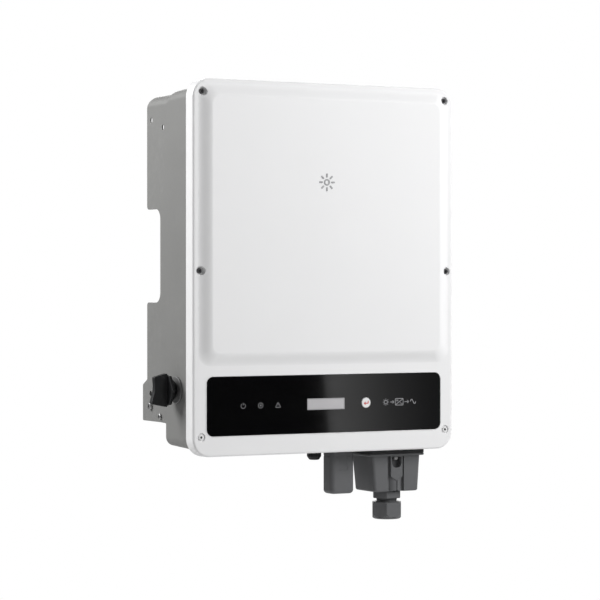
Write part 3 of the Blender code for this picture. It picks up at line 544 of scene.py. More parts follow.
def cover_rings():
    low, high = node_box("front_cover")
    half_x, half_z, rear = high.x, high.z, high.y
    rise_height = FACE_Y - low.y - MARK_RELIEF

    def rim(inset, y):
        return ring(half_x - inset, inset - half_z, half_z - inset, COVER_CORNER - inset, y)

    def rise(t, shrink, y0, height):
        """Ring on the slope of the raised face, at t from its foot to its top."""
        sizes = [a + (b - a) * t for a, b in zip(PILLOW_BASE, PILLOW_TOP)]
        radius = PILLOW_CORNERS[0] + (PILLOW_CORNERS[1] - PILLOW_CORNERS[0]) * t
        bend = 0.2 * t + 0.8 * t * t * (3 - 2 * t)
        return ring(sizes[0] - shrink, sizes[1] + shrink, sizes[2] - shrink, radius, y0 - height * bend)

    inner_shrink = 11.0
    rings = [rise(1 - i / 6, inner_shrink, COVER_INNER_Y, rise_height) for i in range(7)]
    rings += [rim(COVER_WALL + 1.5, COVER_INNER_Y), rim(COVER_WALL, COVER_INNER_Y + 1.5),
              rim(COVER_WALL, rear - 0.3)]
    rings += [rim(COVER_WALL - 0.3, rear), rim(0.6, rear), rim(0.2, rear - 0.2), rim(0.0, rear - 0.6)]
    rings += [rim(inset, FACE_Y + drop) for inset, drop in edge_round(COVER_EDGE, 6)]
    rings += [rise(i / 12, 0.0, FACE_Y, rise_height) for i in range(13)]
    return rings


def cover_screws():
    """Name, middle and seat depth of each cover screw; the lowest two sit in shallow pockets."""
    names = [f"cover_screw_{i}" for i in range(1, 7)]
    return [(name, node_middle(name), FACE_Y + (1.6 if name in SHALLOW_SCREWS else 3.0)) for name in names]


def window_ring(grow, y):
    low, high = node_box("display_window")
    return ring(high.x + grow, low.z - grow, high.z + grow, WINDOW_CORNER + grow, y, 8)


def make_cover():
    cover = loft("front_cover_shell", cover_rings())
    tools = []
    for _, middle, seat in cover_screws():
        points = [(4.7, seat), (4.7, FACE_Y + 0.5), (5.2, FACE_Y), (5.4, FACE_Y - 1.5), (5.4, -160.0)]
        tools.append(turned("pocket_tool", points, (middle.x, 0, middle.z), "Y", 40))
        tools.append(turned("hole_tool", [(2.3, -130.0), (2.3, seat - 1)], (middle.x, 0, middle.z), "Y", 24))
    rear = node_box("display_window")[1].y + 0.3
    tools.append(loft("window_tool", [window_ring(0.3, rear), window_ring(0.3, FACE_Y + 0.8),
                                      window_ring(1.1, FACE_Y), window_ring(1.1, FACE_Y - 2)]))
    tools.append(bar((-128, 128), (WINDOW_Z - 21, WINDOW_Z + 21), (rear - 1, COVER_INNER_Y + 1), 4, "Y"))
    cut(cover, *tools)
    put(cover, WHITE_COATING, "front_cover", sharp=30.0)


def make_panel_lip():
    """Thin raised lip round the display panel, part of the cover."""
    path = [(0.2, 0.2), (0.25, -0.12), (0.45, -0.32), (0.75, -0.4), (1.05, -0.32), (1.25, -0.12), (1.3, 0.2)]
    lip = loft("front_cover_panel_lip", [window_ring(grow, FACE_Y + height) for grow, height in path],
               closed=True)
    put(lip, WHITE_COATING, sharp=60.0)


def make_sun_mark():
    """Small generic sun on the raised face: a disc and eight rays."""
    front = node_box("front_cover")[0].y
    rear = front + MARK_RELIEF + 0.3
    depth = (front, rear)
    x, z, reach = -3.0, 100.0, (5.6, 10.4)
    disc = [(2.2, rear), (3.9, rear), (3.9, front), (2.2, front)]
    mark = turned("sun_mark", disc, (x, 0, z), "Y", 48, closed=True)
    rays = []
    for i in range(8):
        turn = Matrix.Rotation(pi / 4 * i, 2)
        outline = [tuple(turn @ Vector(point) + Vector((x, z)))
                   for point in rectangle(reach, (-1.0, 1.0), 0.95, 4)]
        rays.append(prism("ray_tool", outline, *depth, "Y"))
    join(mark, *rays)
    soften(mark, 0.12, 2)
    put(mark, MARK_METAL)


def pan_screw(name, radius, height, socket, shaft, length):
    """Pan head screw along +Z with a hexagonal socket; its seat is at Z = 0."""
    points = profile([(shaft, -length), (shaft, 0.0), (radius, 0.0), (radius, height), (0.1, height + 0.15)],
                     [0.0, 0.15, height * 0.55])
    screw = turned(name, points, sides=40)
    cut(screw, prism("socket_tool", hexagon(0, 0, socket, 0.1), height - min(1.1, height * 0.75), height + 2))
    return screw


def make_cover_screws():
    for node, middle, seat in cover_screws():
        seat -= 0.3
        screw = pan_screw(node + "_detail", 3.1, 1.4, 2.8, 2.0, 14.5)
        aim(screw, (middle.x, seat, middle.z), (0, -1, 0))
        put(screw, HEAD_WHITE if node in SHALLOW_SCREWS else DARK_SCREW, node)
        # painted shadow: a dark rubber disc on the socket's floor stands for the shade deep inside the hex
        # socket
        shadow = turned(node + "_painted_socket_shadow", [(0.05, seat - 0.2), (1.3, seat - 0.2), (1.3, seat - 0.6),
                                                 (0.05, seat - 0.6)], (middle.x, 0, middle.z), "Y", 24)
        put(shadow, RUBBER)


# ---- display panel
def stroke(bm, path, width, front, rear, closed=False):
    """Add a flat line of a given width along a path of (x, z) points."""
    count = len(path)
    sections = []
    for i, point in enumerate(path):
        before = Vector(path[i - 1]) if i or closed else Vector(point)
        after = Vector(path[(i + 1) % count]) if i < count - 1 or closed else Vector(point)
        along = (after - before).normalized()
        side = Vector((-along.y, along.x)) * width / 2
        corners = [(Vector(point) + side, front), (Vector(point) - side, front),
                   (Vector(point) - side, rear), (Vector(point) + side, rear)]
        sections.append([bm.verts.new(Vector((p.x, y, p.y)) * MM) for p, y in corners])
    pairs = list(zip(sections, sections[1:])) + ([(sections[-1], sections[0])] if closed else [])
    for a, b in pairs:
        for i in range(4):
            bm.faces.new((a[i - 1], a[i], b[i], b[i - 1]))
    if not closed:
        bm.faces.new(sections[0])
        bm.faces.new(sections[-1][::-1])


def arc(u, v, radius, start, end, steps=16):
    """Points on an arc, angles in degrees."""
    turns = [radians(start + (end - start) * i / steps) for i in range(steps + 1)]
    return [(u + radius * cos(turn), v + radius * sin(turn)) for turn in turns]


def make_symbols():
    """Generic signs on the panel: power, run, fault, and a converter between DC and AC."""
    front = node_box("display_window")[0].y
    bm = bmesh.new()
    z = WINDOW_Z

    def draw(path, width, closed=False):
        stroke(bm, path, width, front - 0.06, front + 0.1, closed)

    draw(arc(-109.2, z, 2.9, 125, 415), 0.45)
    draw([(-109.2, z + 0.6), (-109.2, z + 3.6)], 0.45)
    draw(arc(-86.7, z, 3.0, 0, 345, 24), 0.45, closed=True)
    draw(arc(-86.7, z, 0.5, 0, 315, 7), 0.8, closed=True)
    draw(fillet([(-67.5, z - 2.8), (-60.5, z - 2.8), (-64.0, z + 3.4)], 0.5, 3), 0.45, closed=True)
    draw([(-64.0, z + 1.2), (-64.0, z - 0.5)], 0.4)
    draw([(-64.0, z - 1.1), (-64.0, z - 1.6)], 0.4)

    middle = 99.0
    half = 5.4
    frame_line = rectangle((middle - half, middle + half), (z - 3.9, z + 3.9), 1.0, 4)
    draw(frame_line, 0.75, closed=True)
    draw([(middle - half + 0.6, z - 3.3), (middle + half - 0.6, z + 3.3)], 0.75)
    for lift_z in (1.1, 2.2):
        draw([(middle - 4.2, z + lift_z), (middle - 1.2, z + lift_z)], 0.6)
    ripple = [(middle + 0.9 + i * 0.23, z - 1.9 + 0.75 * sin(pi * i / 7.5)) for i in range(16)]
    draw(ripple, 0.6)
    for sign in (-1, 1):
        start, end = middle + sign * 7.2, middle + sign * 12.2
        draw([(start, z), (end, z)], 0.75)
        tip = end + 1.0 if sign > 0 else start
        draw([(tip - 2.0, z + 1.7), (tip, z), (tip - 2.0, z - 1.7)], 0.75)
    draw(arc(middle - 18.4, z, 2.1, 0, 340, 20), 0.75, closed=True)
    for i in range(8):
        turn = pi / 4 * i
        points = [(middle - 18.4 + r * cos(turn), z + r * sin(turn)) for r in (3.1, 4.2)]
        draw(points, 0.7)
    wave = [(middle + 15.2 + i * 0.5, z + 2.6 * sin(2 * pi * i / 16)) for i in range(17)]
    draw(wave, 0.8)
    put(new_object("panel_symbols", bm), PRINT_GREY)


def make_display():
    low, high = node_box("display_window")
    rings = [window_ring(0.0, high.y), window_ring(0.0, low.y + 0.4), window_ring(-0.12, low.y + 0.12),
             window_ring(-0.4, low.y)]
    window = loft("display_window_panel", rings)
    button_hole = [(6.4, high.y + 1), (6.4, low.y + 0.4), (6.8, low.y), (6.8, low.y - 1)]
    lcd_x, lcd_z = (-25.5, 24.5), (-165.3, -152.0)
    cut(window, turned("button_hole_tool", button_hole, (BUTTON_X, 0, WINDOW_Z), "Y", 64),
        bar(lcd_x, lcd_z, (low.y - 1, high.y + 1), 0.6, "Y", 4))
    put(window, PANEL, "display_window")

    def lens_outline(inset):
        return rectangle((lcd_x[0] + 0.05 + inset, lcd_x[1] - 0.05 - inset),
                         (lcd_z[0] + 0.05 + inset, lcd_z[1] - 0.05 - inset), 0.55 - inset, 4)

    lens = pillow_prism("display_lens", lens_outline, low.y + 1.25, low.y + 0.02, 0.1, "Y", both=False)
    put(lens, GLASS)
    bm = bmesh.new()
    stroke(bm, rectangle((lcd_x[0] + 0.7, lcd_x[1] - 0.7), (lcd_z[0] + 0.7, lcd_z[1] - 0.7), 0.4, 3), 0.7,
           low.y, low.y + 0.1, closed=True)
    put(new_object("display_border", bm), PRINT_GREY)

    front, rear = node_box("enter_button")[0].y, node_box("enter_button")[1].y
    points = profile([(2.0, rear), (2.0, rear - 1.8), (7.2, rear - 1.8), (7.2, rear - 3.0), (5.9, rear - 3.0),
                      (5.9, front), (4.6, front), (0.1, front + 0.35)], [0, 0, 0, 0, 0.5, 2.5])
    button = turned("enter_button_cap", points, (BUTTON_X, 0, WINDOW_Z), "Y", 64)
    put(button, BUTTON_WHITE, "enter_button", "enter_key")
    bm = bmesh.new()
    levels = (front - 0.03, front + 0.5)
    x, z = BUTTON_X, WINDOW_Z
    stroke(bm, fillet([(x + 2.7, z + 2.1), (x + 2.7, z - 0.7), (x - 2.4, z - 0.7)], [0, 0.6, 0], 4), 0.95,
           *levels)
    stroke(bm, [(x - 0.9, z + 0.9), (x - 2.7, z - 0.7), (x - 0.9, z - 2.3)], 0.95, *levels)
    put(new_object("enter_arrow", bm), PRINT_RED, body="enter_key")


# ---- housing
def wing_outline():
    """Side view of the rear section, as (Y, Z)."""
    front = BOX_REAR_Y - 2
    points = [(front, WING_BOTTOM), (FOOT_REAR_Y, WING_BOTTOM), (FOOT_REAR_Y, -137.8), (WING_REAR_Y, -131.4),
              (WING_REAR_Y, NOTCH_Z[0]), (NOTCH_Y, NOTCH_Z[0]), (NOTCH_Y, NOTCH_Z[1]),
              (WING_REAR_Y, NOTCH_Z[1]), (WING_REAR_Y, WING_TOP), (front, WING_TOP)]
    return fillet(points, [0, 2, 2, 2, 4, 12, 12, 4, 15, 0], 8)


def box_ring(t, y, inset=0.0, top_inset=0.0, side_inset=0.0):
    """Ring of the drafted box, t from its front to its rear."""
    half_x, low_z, high_z = [a + (b - a) * t for a, b in zip(BOX_FRONT, BOX_REAR)]
    corners = [max(a + (b - a) * t - inset, 2.0) for a, b in zip(BOX_FRONT_CORNERS, BOX_REAR_CORNERS)]
    outline = rectangle((-half_x + inset + side_inset, half_x - inset - side_inset),
                        (low_z + inset + side_inset, high_z - inset - top_inset), corners, 10)
    return layer(outline, y, "Y")


def make_housing():
    depth = BOX_REAR_Y - BOX_FRONT_Y
    rings = [box_ring(0.95, BOX_FLOOR_Y, BOX_WALL + 1.5), box_ring(0.93, BOX_FLOOR_Y - 1.5, BOX_WALL),
             box_ring(0.0, BOX_FRONT_Y, BOX_WALL), box_ring(0.0, BOX_FRONT_Y, 0.3),
             box_ring(0.0, BOX_FRONT_Y + 0.3)]
    for reach, top, side in ((14.0, 0.0, 0.0), (10.0, 0.35, 0.0), (6.5, 1.1, 0.0), (3.5, 2.0, 0.0),
                             (1.5, 2.45, 0.0), (0.0, 2.75, 0.1)):
        y = BOX_REAR_Y - reach
        rings.append(box_ring((y - BOX_FRONT_Y) / depth, y, 0.0, top, side))
    housing = loft("housing_casting", rings)

    outer = BOX_REAR[0]
    corners = [0, 0, WING_CORNER, WING_CORNER]
    outline = rectangle((-outer, outer), (WING_BOTTOM, WING_TOP), corners, 10)
    rear = prism("rear_tool", outline, BOX_REAR_Y - 3.0, 0.0, "Y")
    combine(rear, "INTERSECT", [prism("wing_tool", wing_outline(), -WING_OUTER - 5, WING_OUTER + 5, "X")])
    inner, inner_corner = WING_OUTER - WING_WALL, WING_CORNER - WING_WALL
    corners = [0, 0, inner_corner, inner_corner]
    inside = bar((-inner, inner), (WING_BOTTOM - 5, WING_TOP - WING_WALL), (BOX_REAR_Y - 0.01, 2.0), corners,
                 "Y", 10)
    air_outlet = bar((-138, 138), (BOX_REAR_Y + 5, 20), (WING_TOP - 20, WING_TOP + 5), 3)
    cut(rear, inside, air_outlet)
    lock_holes = [rod(LOCK_Y, LOCK_Z, 2.9, (low, low + 12), "X", 24) for low in (-175, 163)]
    spot_faces = [rod(y, z, 6.0, (1.0 - WING_OUTER, WING_OUTER - 1.0), "X") for y, z in WING_HOLES]
    cut(rear, *lock_holes, *spot_faces)
    wing_holes = [rod(y, z, 3.0, (-175, 175), "X", 24) for y, z in WING_HOLES]
    cut(rear, *wing_holes, rod(-50.5, -173.6, 2.3, LEFT_WALL, "X", 20))
    join(housing, rear)

    join(housing, *[bar(x_range, (-132, -68), (PAD_Z, -205), 4.0) for x_range in PORT_PADS])
    openings = [rod(SWITCH_Y, SWITCH_Z, 6.0, LEFT_WALL, "X"),
                bar((83, 134), (-116, -86), PORT_OPENING, 3),
                bar((30.4, 51.0), (SERVICE_Y - 6.3, SERVICE_Y + 6.3), PORT_OPENING, 1.0),
                rod(node_middle("com_port_cap").x, SERVICE_Y, 6.3, PORT_OPENING),
                rod(node_middle("vent_valve").x, DC_Y, 3.4, PORT_OPENING)]
    openings += [rod(node_middle(node).x, DC_Y, 6.3, PORT_OPENING) for node in dc_nodes()]
    cut(housing, *openings)
    soften(housing, 0.7, 2, 44.0)
    put(housing, GREY_COATING, "housing", sharp=34.0)


def dc_nodes():
    return [f"dc_connector_{pole}_{string}" for string in (1, 2) for pole in ("plus", "minus")]


def make_heat_sink():
    """Extruded comb with rounded fin tips and rounded roots."""
    low, high = node_box("heat_sink")
    base_rear = -57.5
    outline = [(high.x, base_rear), (high.x, low.y), (low.x, low.y), (low.x, base_rear)]
    radii = [1.0, 0.6, 0.6, 1.0]
    for i in range(FIN_COUNT):
        left = FIN_PITCH * (i - (FIN_COUNT - 1) / 2) - FIN_THICKNESS / 2
        right = left + FIN_THICKNESS
        outline += [(left - 0.35, base_rear), (left + 0.35, high.y), (right - 0.35, high.y),
                    (right + 0.35, base_rear)]
        radii += [1.2, 0.7, 0.7, 1.2]
    sink = prism("heat_sink_extrusion", fillet(outline, radii, 4), low.z, high.z)
    put(sink, SINK_METAL, "heat_sink")


# ---- rotary DC switch
def make_switch():
    rear = -169.9
    points = profile([(4.2, rear), (15.8, rear), (15.8, rear - 2.0), (4.2, rear - 2.0)], [0.2, 1.1])
    bezel = turned("dc_switch_dial", points, (0, SWITCH_Y, SWITCH_Z), "X", 72, closed=True)
    put(bezel, BEZEL_POLYMER, "dc_switch_bezel")

    base_front = -184.0
    levels = ((-172.3, 15.6), (-179.6, 27.6), (-180.2, 33.0), (-183.6, 33.6), (base_front, 32.8))
    knob = loft("dc_switch_handle", [layer(hexagon(SWITCH_Y, SWITCH_Z, flats, 1.0), x, "X")
                                     for x, flats in levels])
    low_x = node_box("dc_switch_knob")[0].x
    root = base_front + 0.5
    grip_outline = fillet([(root, SWITCH_Z - 19.4), (low_x, SWITCH_Z - 15.6), (low_x + 4.9, SWITCH_Z + 2),
                           (low_x + 3.7, SWITCH_Z + 15.2), (root, SWITCH_Z + 19.4)], [0, 1.6, 30, 1.6, 0], 8)
    grip = prism("grip_tool", grip_outline, SWITCH_Y - 5.0, SWITCH_Y + 5.0, "Y")
    for vert in grip.data.vertices:
        if vert.co.x < -190 * MM:
            vert.co.y = SWITCH_Y * MM + (vert.co.y - SWITCH_Y * MM) * 0.78
    join(knob, grip)
    soften(knob, 0.9, 3, 35.0)
    put(knob, BLACK_POLYMER, "dc_switch_knob", "switch_rotor")


# ---- ports below the housing
def make_ac_cover():
    low = node_box("ac_terminal_cover")[0]
    half_y = 24.75
    flange_z = (-222.0, -214.8)

    def body_ring(z, inset):
        t = (flange_z[0] - z) / (flange_z[0] - low.z)
        width = 33.6 - 3.1 * t - inset
        rear = -73.3 - 3.2 * t - inset
        return layer(rectangle((AC_X - width, AC_X + width), (AC_Y - half_y + inset, rear), 4.0, 6), z)

    rings = [body_ring(flange_z[0] + 2, 0.0)]
    rings += [body_ring(low.z + drop, inset) for inset, drop in edge_round(2.0, 5)]
    cover = loft("ac_terminal_housing", rings)

    def flange_outline(inset):
        return rectangle((AC_X - 37.5 + inset, AC_X + 37.5 - inset),
                         (AC_Y - 27.5 + inset, AC_Y + 27.5 - inset), 2.6 - inset, 8)

    levels = ((0.9, -224.4), (0.3, -224.2), (0.0, -223.6), (0.0, -222.2), (0.3, -221.8), (1.4, -221.6),
              (1.4, flange_z[1]))
    join(cover, loft("flange_tool", [layer(flange_outline(inset), z) for inset, z in levels]))

    for side in (-1, 1):
        front = AC_Y + side * half_y
        recess_y = sorted((front - side * 3.6, front + side * 6))
        cut(cover, bar((AC_X - 12.2, AC_X + 10.2), recess_y, (low.z - 1, -224.5)))
        column = turned("column_tool", [(10.4, low.z + 0.6), (10.6, low.z + 1.4), (10.6, -221.0)],
                        (AC_X - 0.3, front - side * 10.2, 0), "Z", 56)
        shield = [(AC_X - 8.2, -221.0), (AC_X - 8.2, -249.0), (AC_X, -254.5), (AC_X + 8.2, -249.0),
                  (AC_X + 8.2, -221.0)]
        plate_y = sorted((front - side * 8, front + side * 0.6))
        join(cover, column, prism("shield_tool", fillet(shield, [0, 1.2, 1.2, 1.2, 0], 4), *plate_y, "Y"))
        pocket = fillet([(AC_X - 6.4, -225.5), (AC_X - 6.4, -238.5), (AC_X + 6.4, -238.5),
                         (AC_X + 6.4, -225.5)], [1.0, 5.6, 5.6, 1.0], 8)
        pocket_y = sorted((front - side * 7.5, front + side * 8))
        cut(cover, prism("pocket_tool", pocket, *pocket_y, "Y"),
            turned("driver_tool", [(3.6, low.z - 1), (3.6, -236.0)], (AC_X, front - side * 3.2, 0), "Z", 32))

    inside_y = (AC_Y - half_y + 9.5, AC_Y + half_y - 9.5)
    cut(cover, bar((AC_X - 27.0, AC_X + 27.0), inside_y, (low.z + 2.5, flange_z[1] + 1), 3, steps=6),
        turned("gland_hole_tool", [(10.3, low.z - 1), (10.3, low.z + 4)], (AC_X, GLAND_Y, 0), "Z", 48))
    soften(cover, 0.5, 2, 40.0)
    put(cover, DARK_POLYMER, "ac_terminal_cover", sharp=34.0)

    seal = pillow_prism("ac_cover_bead", lambda inset: flange_outline(inset + 0.1), -221.5, -214.9, 0.4)
    put(cut(seal, prism("bead_hole_tool", flange_outline(1.7), -230, -210)), RUBBER)
    gasket_low, gasket_high = node_box("ac_cover_gasket")

    def gasket_outline(inset):
        return rectangle((gasket_low.x + inset, gasket_high.x - inset),
                         (gasket_low.y + inset, gasket_high.y - inset), 3.0 - inset, 6)

    gasket = pillow_prism("ac_cover_seal", gasket_outline, gasket_low.z, gasket_high.z, 0.4)
    cut(gasket, bar((83, 134), (-114, -86), (-220, -208), 2))
    put(gasket, RUBBER, "ac_cover_gasket")

    for node in ("ac_cover_screw_front", "ac_cover_screw_rear"):
        middle = node_middle(node)
        screw = pan_screw(node + "_detail", 3.4, 3.0, 2.8, 2.0, 14.0)
        aim(screw, (middle.x, middle.y, -226.3), (0, 0, -1))
        put(screw, SCREW_STEEL, node)


def make_gland():
    place = (AC_X, GLAND_Y, 0)
    low, high = node_box("gland_body")
    top = node_box("ac_terminal_cover")[0].z - 0.3
    bottom = -276.2
    levels = ((top, 31.2), (top - 0.8, 32.6), (bottom + 0.8, 32.6), (bottom, 31.2))
    body = loft("gland_body_moulding", [layer(hexagon(AC_X, GLAND_Y, flats, 1.0), z) for z, flats in levels])
    thread = [(12.6, bottom + 1.5)]
    for i in range(9):
        z = -278.2 - i * 1.5
        thread += [(12.6, z + 0.5), (11.7, z), (11.7, z - 0.3), (12.6, z - 0.8)]
    thread += [(12.2, low.z + 0.2), (11.4, low.z)]
    join(body, turned("thread_tool", thread, place, "Z", 64),
         turned("stem_tool", [(10.0, -268.0), (10.0, high.z)], place, "Z", 48))
    cut(body, turned("bore_tool", [(7.5, low.z - 2), (7.5, high.z + 2)], place, "Z", 48))
    soften(body, 0.25, 2, 50.0)
    put(body, DARK_POLYMER, "gland_body", sharp=34.0)

    seal_low, seal_high = node_box("gland_seal")
    points = fillet([(7.5, seal_low.z), (12.6, seal_low.z), (12.6, seal_high.z), (7.5, seal_high.z)], 0.8, 5)
    seal = turned("gland_seal_ring", points, place, "Z", 64, closed=True)
    put(seal, RUBBER, "gland_seal")

    nut_low, nut_high = node_box("gland_nut")
    nut = prism("gland_clamp_nut", hexagon(AC_X, GLAND_Y, 34.4, 1.2), nut_low.z, nut_high.z)
    dome = profile([(0.1, nut_high.z + 0.2), (17.4, nut_high.z + 0.2), (20.4, nut_high.z - 1.8),
                    (20.4, nut_low.z + 7.5), (16.4, nut_low.z - 0.1), (0.1, nut_low.z - 0.1)],
                   [1.5, 1.0, 7.0, 3.5])
    combine(nut, "INTERSECT", [turned("dome_tool", dome, place, "Z", 96)])
    cut(nut, turned("nut_thread_tool", [(13.0, -295.9), (13.0, -279.0)], place, "Z", 64),
        turned("nut_exit_tool", [(10.2, nut_low.z - 1), (9.0, nut_low.z + 1.2), (9.0, -295.0)], place, "Z",
               64))
    soften(nut, 0.5, 3, 30.0)
    put(nut, DARK_POLYMER, "gland_nut", "gland_clamp", sharp=34.0)


def make_com_port():
    x = node_middle("com_port_cap").x
    low, high = node_box("com_port_cap")
    sides = 72
    rings = []
    for radius, z, ribbed in ((6.4, high.z, 0), (6.4, PAD_Z - 3.0, 0), (8.0, PAD_Z - 3.0, 0),
                              (8.4, PAD_Z - 3.4, 1), (8.4, PAD_Z - 10.8, 1), (8.1, PAD_Z - 11.4, 0),
                              (6.3, low.z + 0.9, 0), (5.6, low.z + 0.2, 0), (4.8, low.z, 0), (2.6, low.z, 0),
                              (2.2, low.z + 0.8, 0)):
        outline = []
        for i in range(sides):
            turn = 2 * pi * i / sides
            reach = radius + (0.1 - 0.32 * (i % 4 == 0) if ribbed else 0.0)
            outline.append(Vector((x + reach * cos(turn), SERVICE_Y + reach * sin(turn), z)))
        rings.append(outline)
    cap = loft("com_port_dust_cap", rings)
    put(cap, BLACK_POLYMER, "com_port_cap", "com_cap")

    socket = profile([(0.1, PAD_Z + 12), (6.0, PAD_Z + 12), (6.0, PAD_Z - 0.3), (9.5, PAD_Z - 0.3),
                      (9.5, PAD_Z - 2.5), (6.1, PAD_Z - 2.5), (6.1, PAD_Z - 9.5), (4.2, PAD_Z - 9.5),
                      (4.2, PAD_Z + 5), (0.1, PAD_Z + 5)], [0.4, 0, 0.2, 0.5, 0, 0.4, 0.4, 0])
    ring_piece = turned("com_port_collar", socket, (x, SERVICE_Y, 0), "Z", 64)
    put(ring_piece, DARK_POLYMER, "com_port_socket")


def make_wifi_module():
    low, high = node_box("wifi_module")
    middle = (low + high) / 2

    def outline(inset):
        return rectangle((low.x + inset, high.x - inset), (low.y + inset, high.y - inset), 6.0 - inset * 0.8,
                         10)

    levels = [(inset, low.z + drop) for inset, drop in reversed(edge_round(4.5, 6))]
    levels += [(0.0, high.z - 9.0), (0.45, high.z - 8.6), (0.45, high.z - 8.0), (0.0, high.z - 7.6),
               (0.0, high.z - 0.5), (0.5, high.z)]
    module = loft("wireless_module_case", [layer(outline(inset), z) for inset, z in levels])
    label = fillet([(middle.x - 6.2, -240.0), (middle.x + 6.2, -240.0), (middle.x + 6.2, -221.0),
                    (middle.x - 6.2, -221.0)], 0.8, 4)
    cut(module, prism("label_tool", label, low.y - 1, low.y + 0.5, "Y"),
        bar((middle.x - 8, middle.x + 8), (middle.y - 4.6, middle.y + 4.6), (-228, -210), 0.5))
    soften(module, 0.25, 2, 50.0)
    put(module, DARK_POLYMER, "wifi_module", "wireless_plug", sharp=34.0)


def make_dc_connectors():
    """Panel sockets with a grip collar, two latch notches and a contact pin."""
    for node in dc_nodes():
        x = node_middle(node).x
        z = PAD_Z
        points = profile([(0.1, z + 22), (6.0, z + 22), (6.0, z - 0.3), (9.5, z - 0.3), (9.5, z - 3.5),
                          (7.2, z - 3.5), (7.2, z - 5.5), (4.2, z - 5.5), (4.2, z + 14), (1.6, z + 14),
                          (1.6, z + 3.0), (0.1, z + 2.4)], [0.4, 0, 0.2, 0.5, 0.1, 0.4, 0.4, 0, 0, 0.5])
        socket = turned(node + "_socket", points, (x, DC_Y, 0), "Z", 64)
        for side in (-1, 1):
            notch_y = sorted((DC_Y + side * 6.0, DC_Y + side * 11))
            cut(socket, bar((x - 1.6, x + 1.6), notch_y, (z - 8, z - 2.2)))
        for turn in (45, 135, 225, 315):
            flat = (x + 9.9 * cos(radians(turn)), DC_Y + 9.9 * sin(radians(turn)))
            cut(socket, rod(*flat, 1.4, (z - 4.5, z - 0.5), sides=20))
        put(socket, BLACK_POLYMER, node, sharp=34.0)

    x, z = node_middle("vent_valve").x, PAD_Z
    points = profile([(0.1, z + 8), (3.1, z + 8), (3.1, z - 0.3), (6.5, z - 0.3), (6.5, z - 3.0),
                      (5.5, z - 4.0), (0.1, z - 4.0)], [0.3, 0.2, 0.2, 0.4, 0.6])
    vent = turned("vent_valve_cap", points, (x, DC_Y, 0), "Z", 48)
    narrow, left, right = (-0.5, 0.5), (-7, -3.2), (3.2, 7)
    slots = []
    for (u0, u1), (v0, v1) in ((narrow, left), (narrow, right), (left, narrow), (right, narrow)):
        slots.append(bar((x + u0, x + u1), (DC_Y + v0, DC_Y + v1), (z - 5, z - 2.6)))
    put(cut(vent, *slots), BLACK_POLYMER, "vent_valve")


def make_side_screws():
    for node, radius, x_sign in (("lock_screw_left", 4.4, -1), ("lock_screw_right", 4.4, 1),
                                 ("earth_screw", 3.4, -1)):
        middle = node_middle(node)
        height = 2.6 if radius > 4 else 2.0
        screw = pan_screw(node + "_detail", radius, height, radius * 0.8, radius * 0.57, radius * 2.7)
        aim(screw, (x_sign * (WING_OUTER + 0.3), middle.y, middle.z), (x_sign, 0, 0))
        put(screw, SCREW_STEEL, node)


# ---- wall bracket and hanging rail
def bent_sheet(name, centre_line, low, high):
    """Sheet folded along a line of (Y, Z) points, with rounded bends."""
    radii = [0] + [BEND_RADIUS] * (len(centre_line) - 2) + [0]
    path = [Vector(point) for point in fillet(centre_line, radii, 6)]
    left, right = [], []
    for i, point in enumerate(path):
        before = path[max(i - 1, 0)]
        after = path[min(i + 1, len(path) - 1)]
        along = (after - before).normalized()
        side = Vector((-along.y, along.x)) * BRACKET_THICKNESS / 2
        left.append(tuple(point + side))
        right.append(tuple(point - side))
    return prism(name, left + right[::-1], low, high, "X")


def make_bracket():
    half = BRACKET_THICKNESS / 2
    plate = prism("wall_bracket_plate", rectangle((-120, 120), (-170, 149), 6.0), -2 * half, 0.0, "Y")
    join(plate, bar((-162.0, 162.0), (-178, -140), (-2 * half, 0.0), 4.0, "Y"))
    through = (-5, 2)
    holes = [rod(x, z, 4.0, through, "Y") for x in (-95, 95) for z in (-60, 10, 80, 128)]
    windows = [bar((x - 22, x + 22), z_range, through, 5.0, "Y")
               for x in (-55, 55) for z_range in ((35, 110), (-130, -35))]
    cut(plate, *holes, *windows)
    gutter_line = [(-half - 0.06, 140.0), (-half - 0.06, 148.75), (-8.25, 148.75), (-8.25, 163.0)]
    gutter = bent_sheet("gutter_tool", gutter_line, -118, 118)
    slot = 2.8
    ear = fillet([(-1.0, -176), (-1.0, -142), (-18, -145), (LOCK_Y + slot, -147), (LOCK_Y + slot, LOCK_Z),
                  (LOCK_Y - slot, LOCK_Z), (LOCK_Y - slot, -147), (-32, -147), (-32, -176)],
                 [0, 0, 3, 1, slot - 0.05, slot - 0.05, 1, 3, 6], 6)
    ears = [prism("ear_tool", ear, x, x + BRACKET_THICKNESS, "X") for x in (-163.5, 161.0)]
    join(plate, gutter, *ears)
    soften(plate, 0.35, 2, 50.0)
    put(plate, ZINC, "wall_bracket", "wall", sharp=34.0)

    low, high = node_box("hanger_rail")
    line = [(low.y + half, low.z), (low.y + half, high.z - half), (high.y - half, high.z - half),
            (high.y - half, 150.4)]
    rail = bent_sheet("hanger_rail_sheet", line, low.x, high.x)
    soften(rail, 0.35, 2, 50.0)
    put(rail, ZINC, "hanger_rail", sharp=34.0)


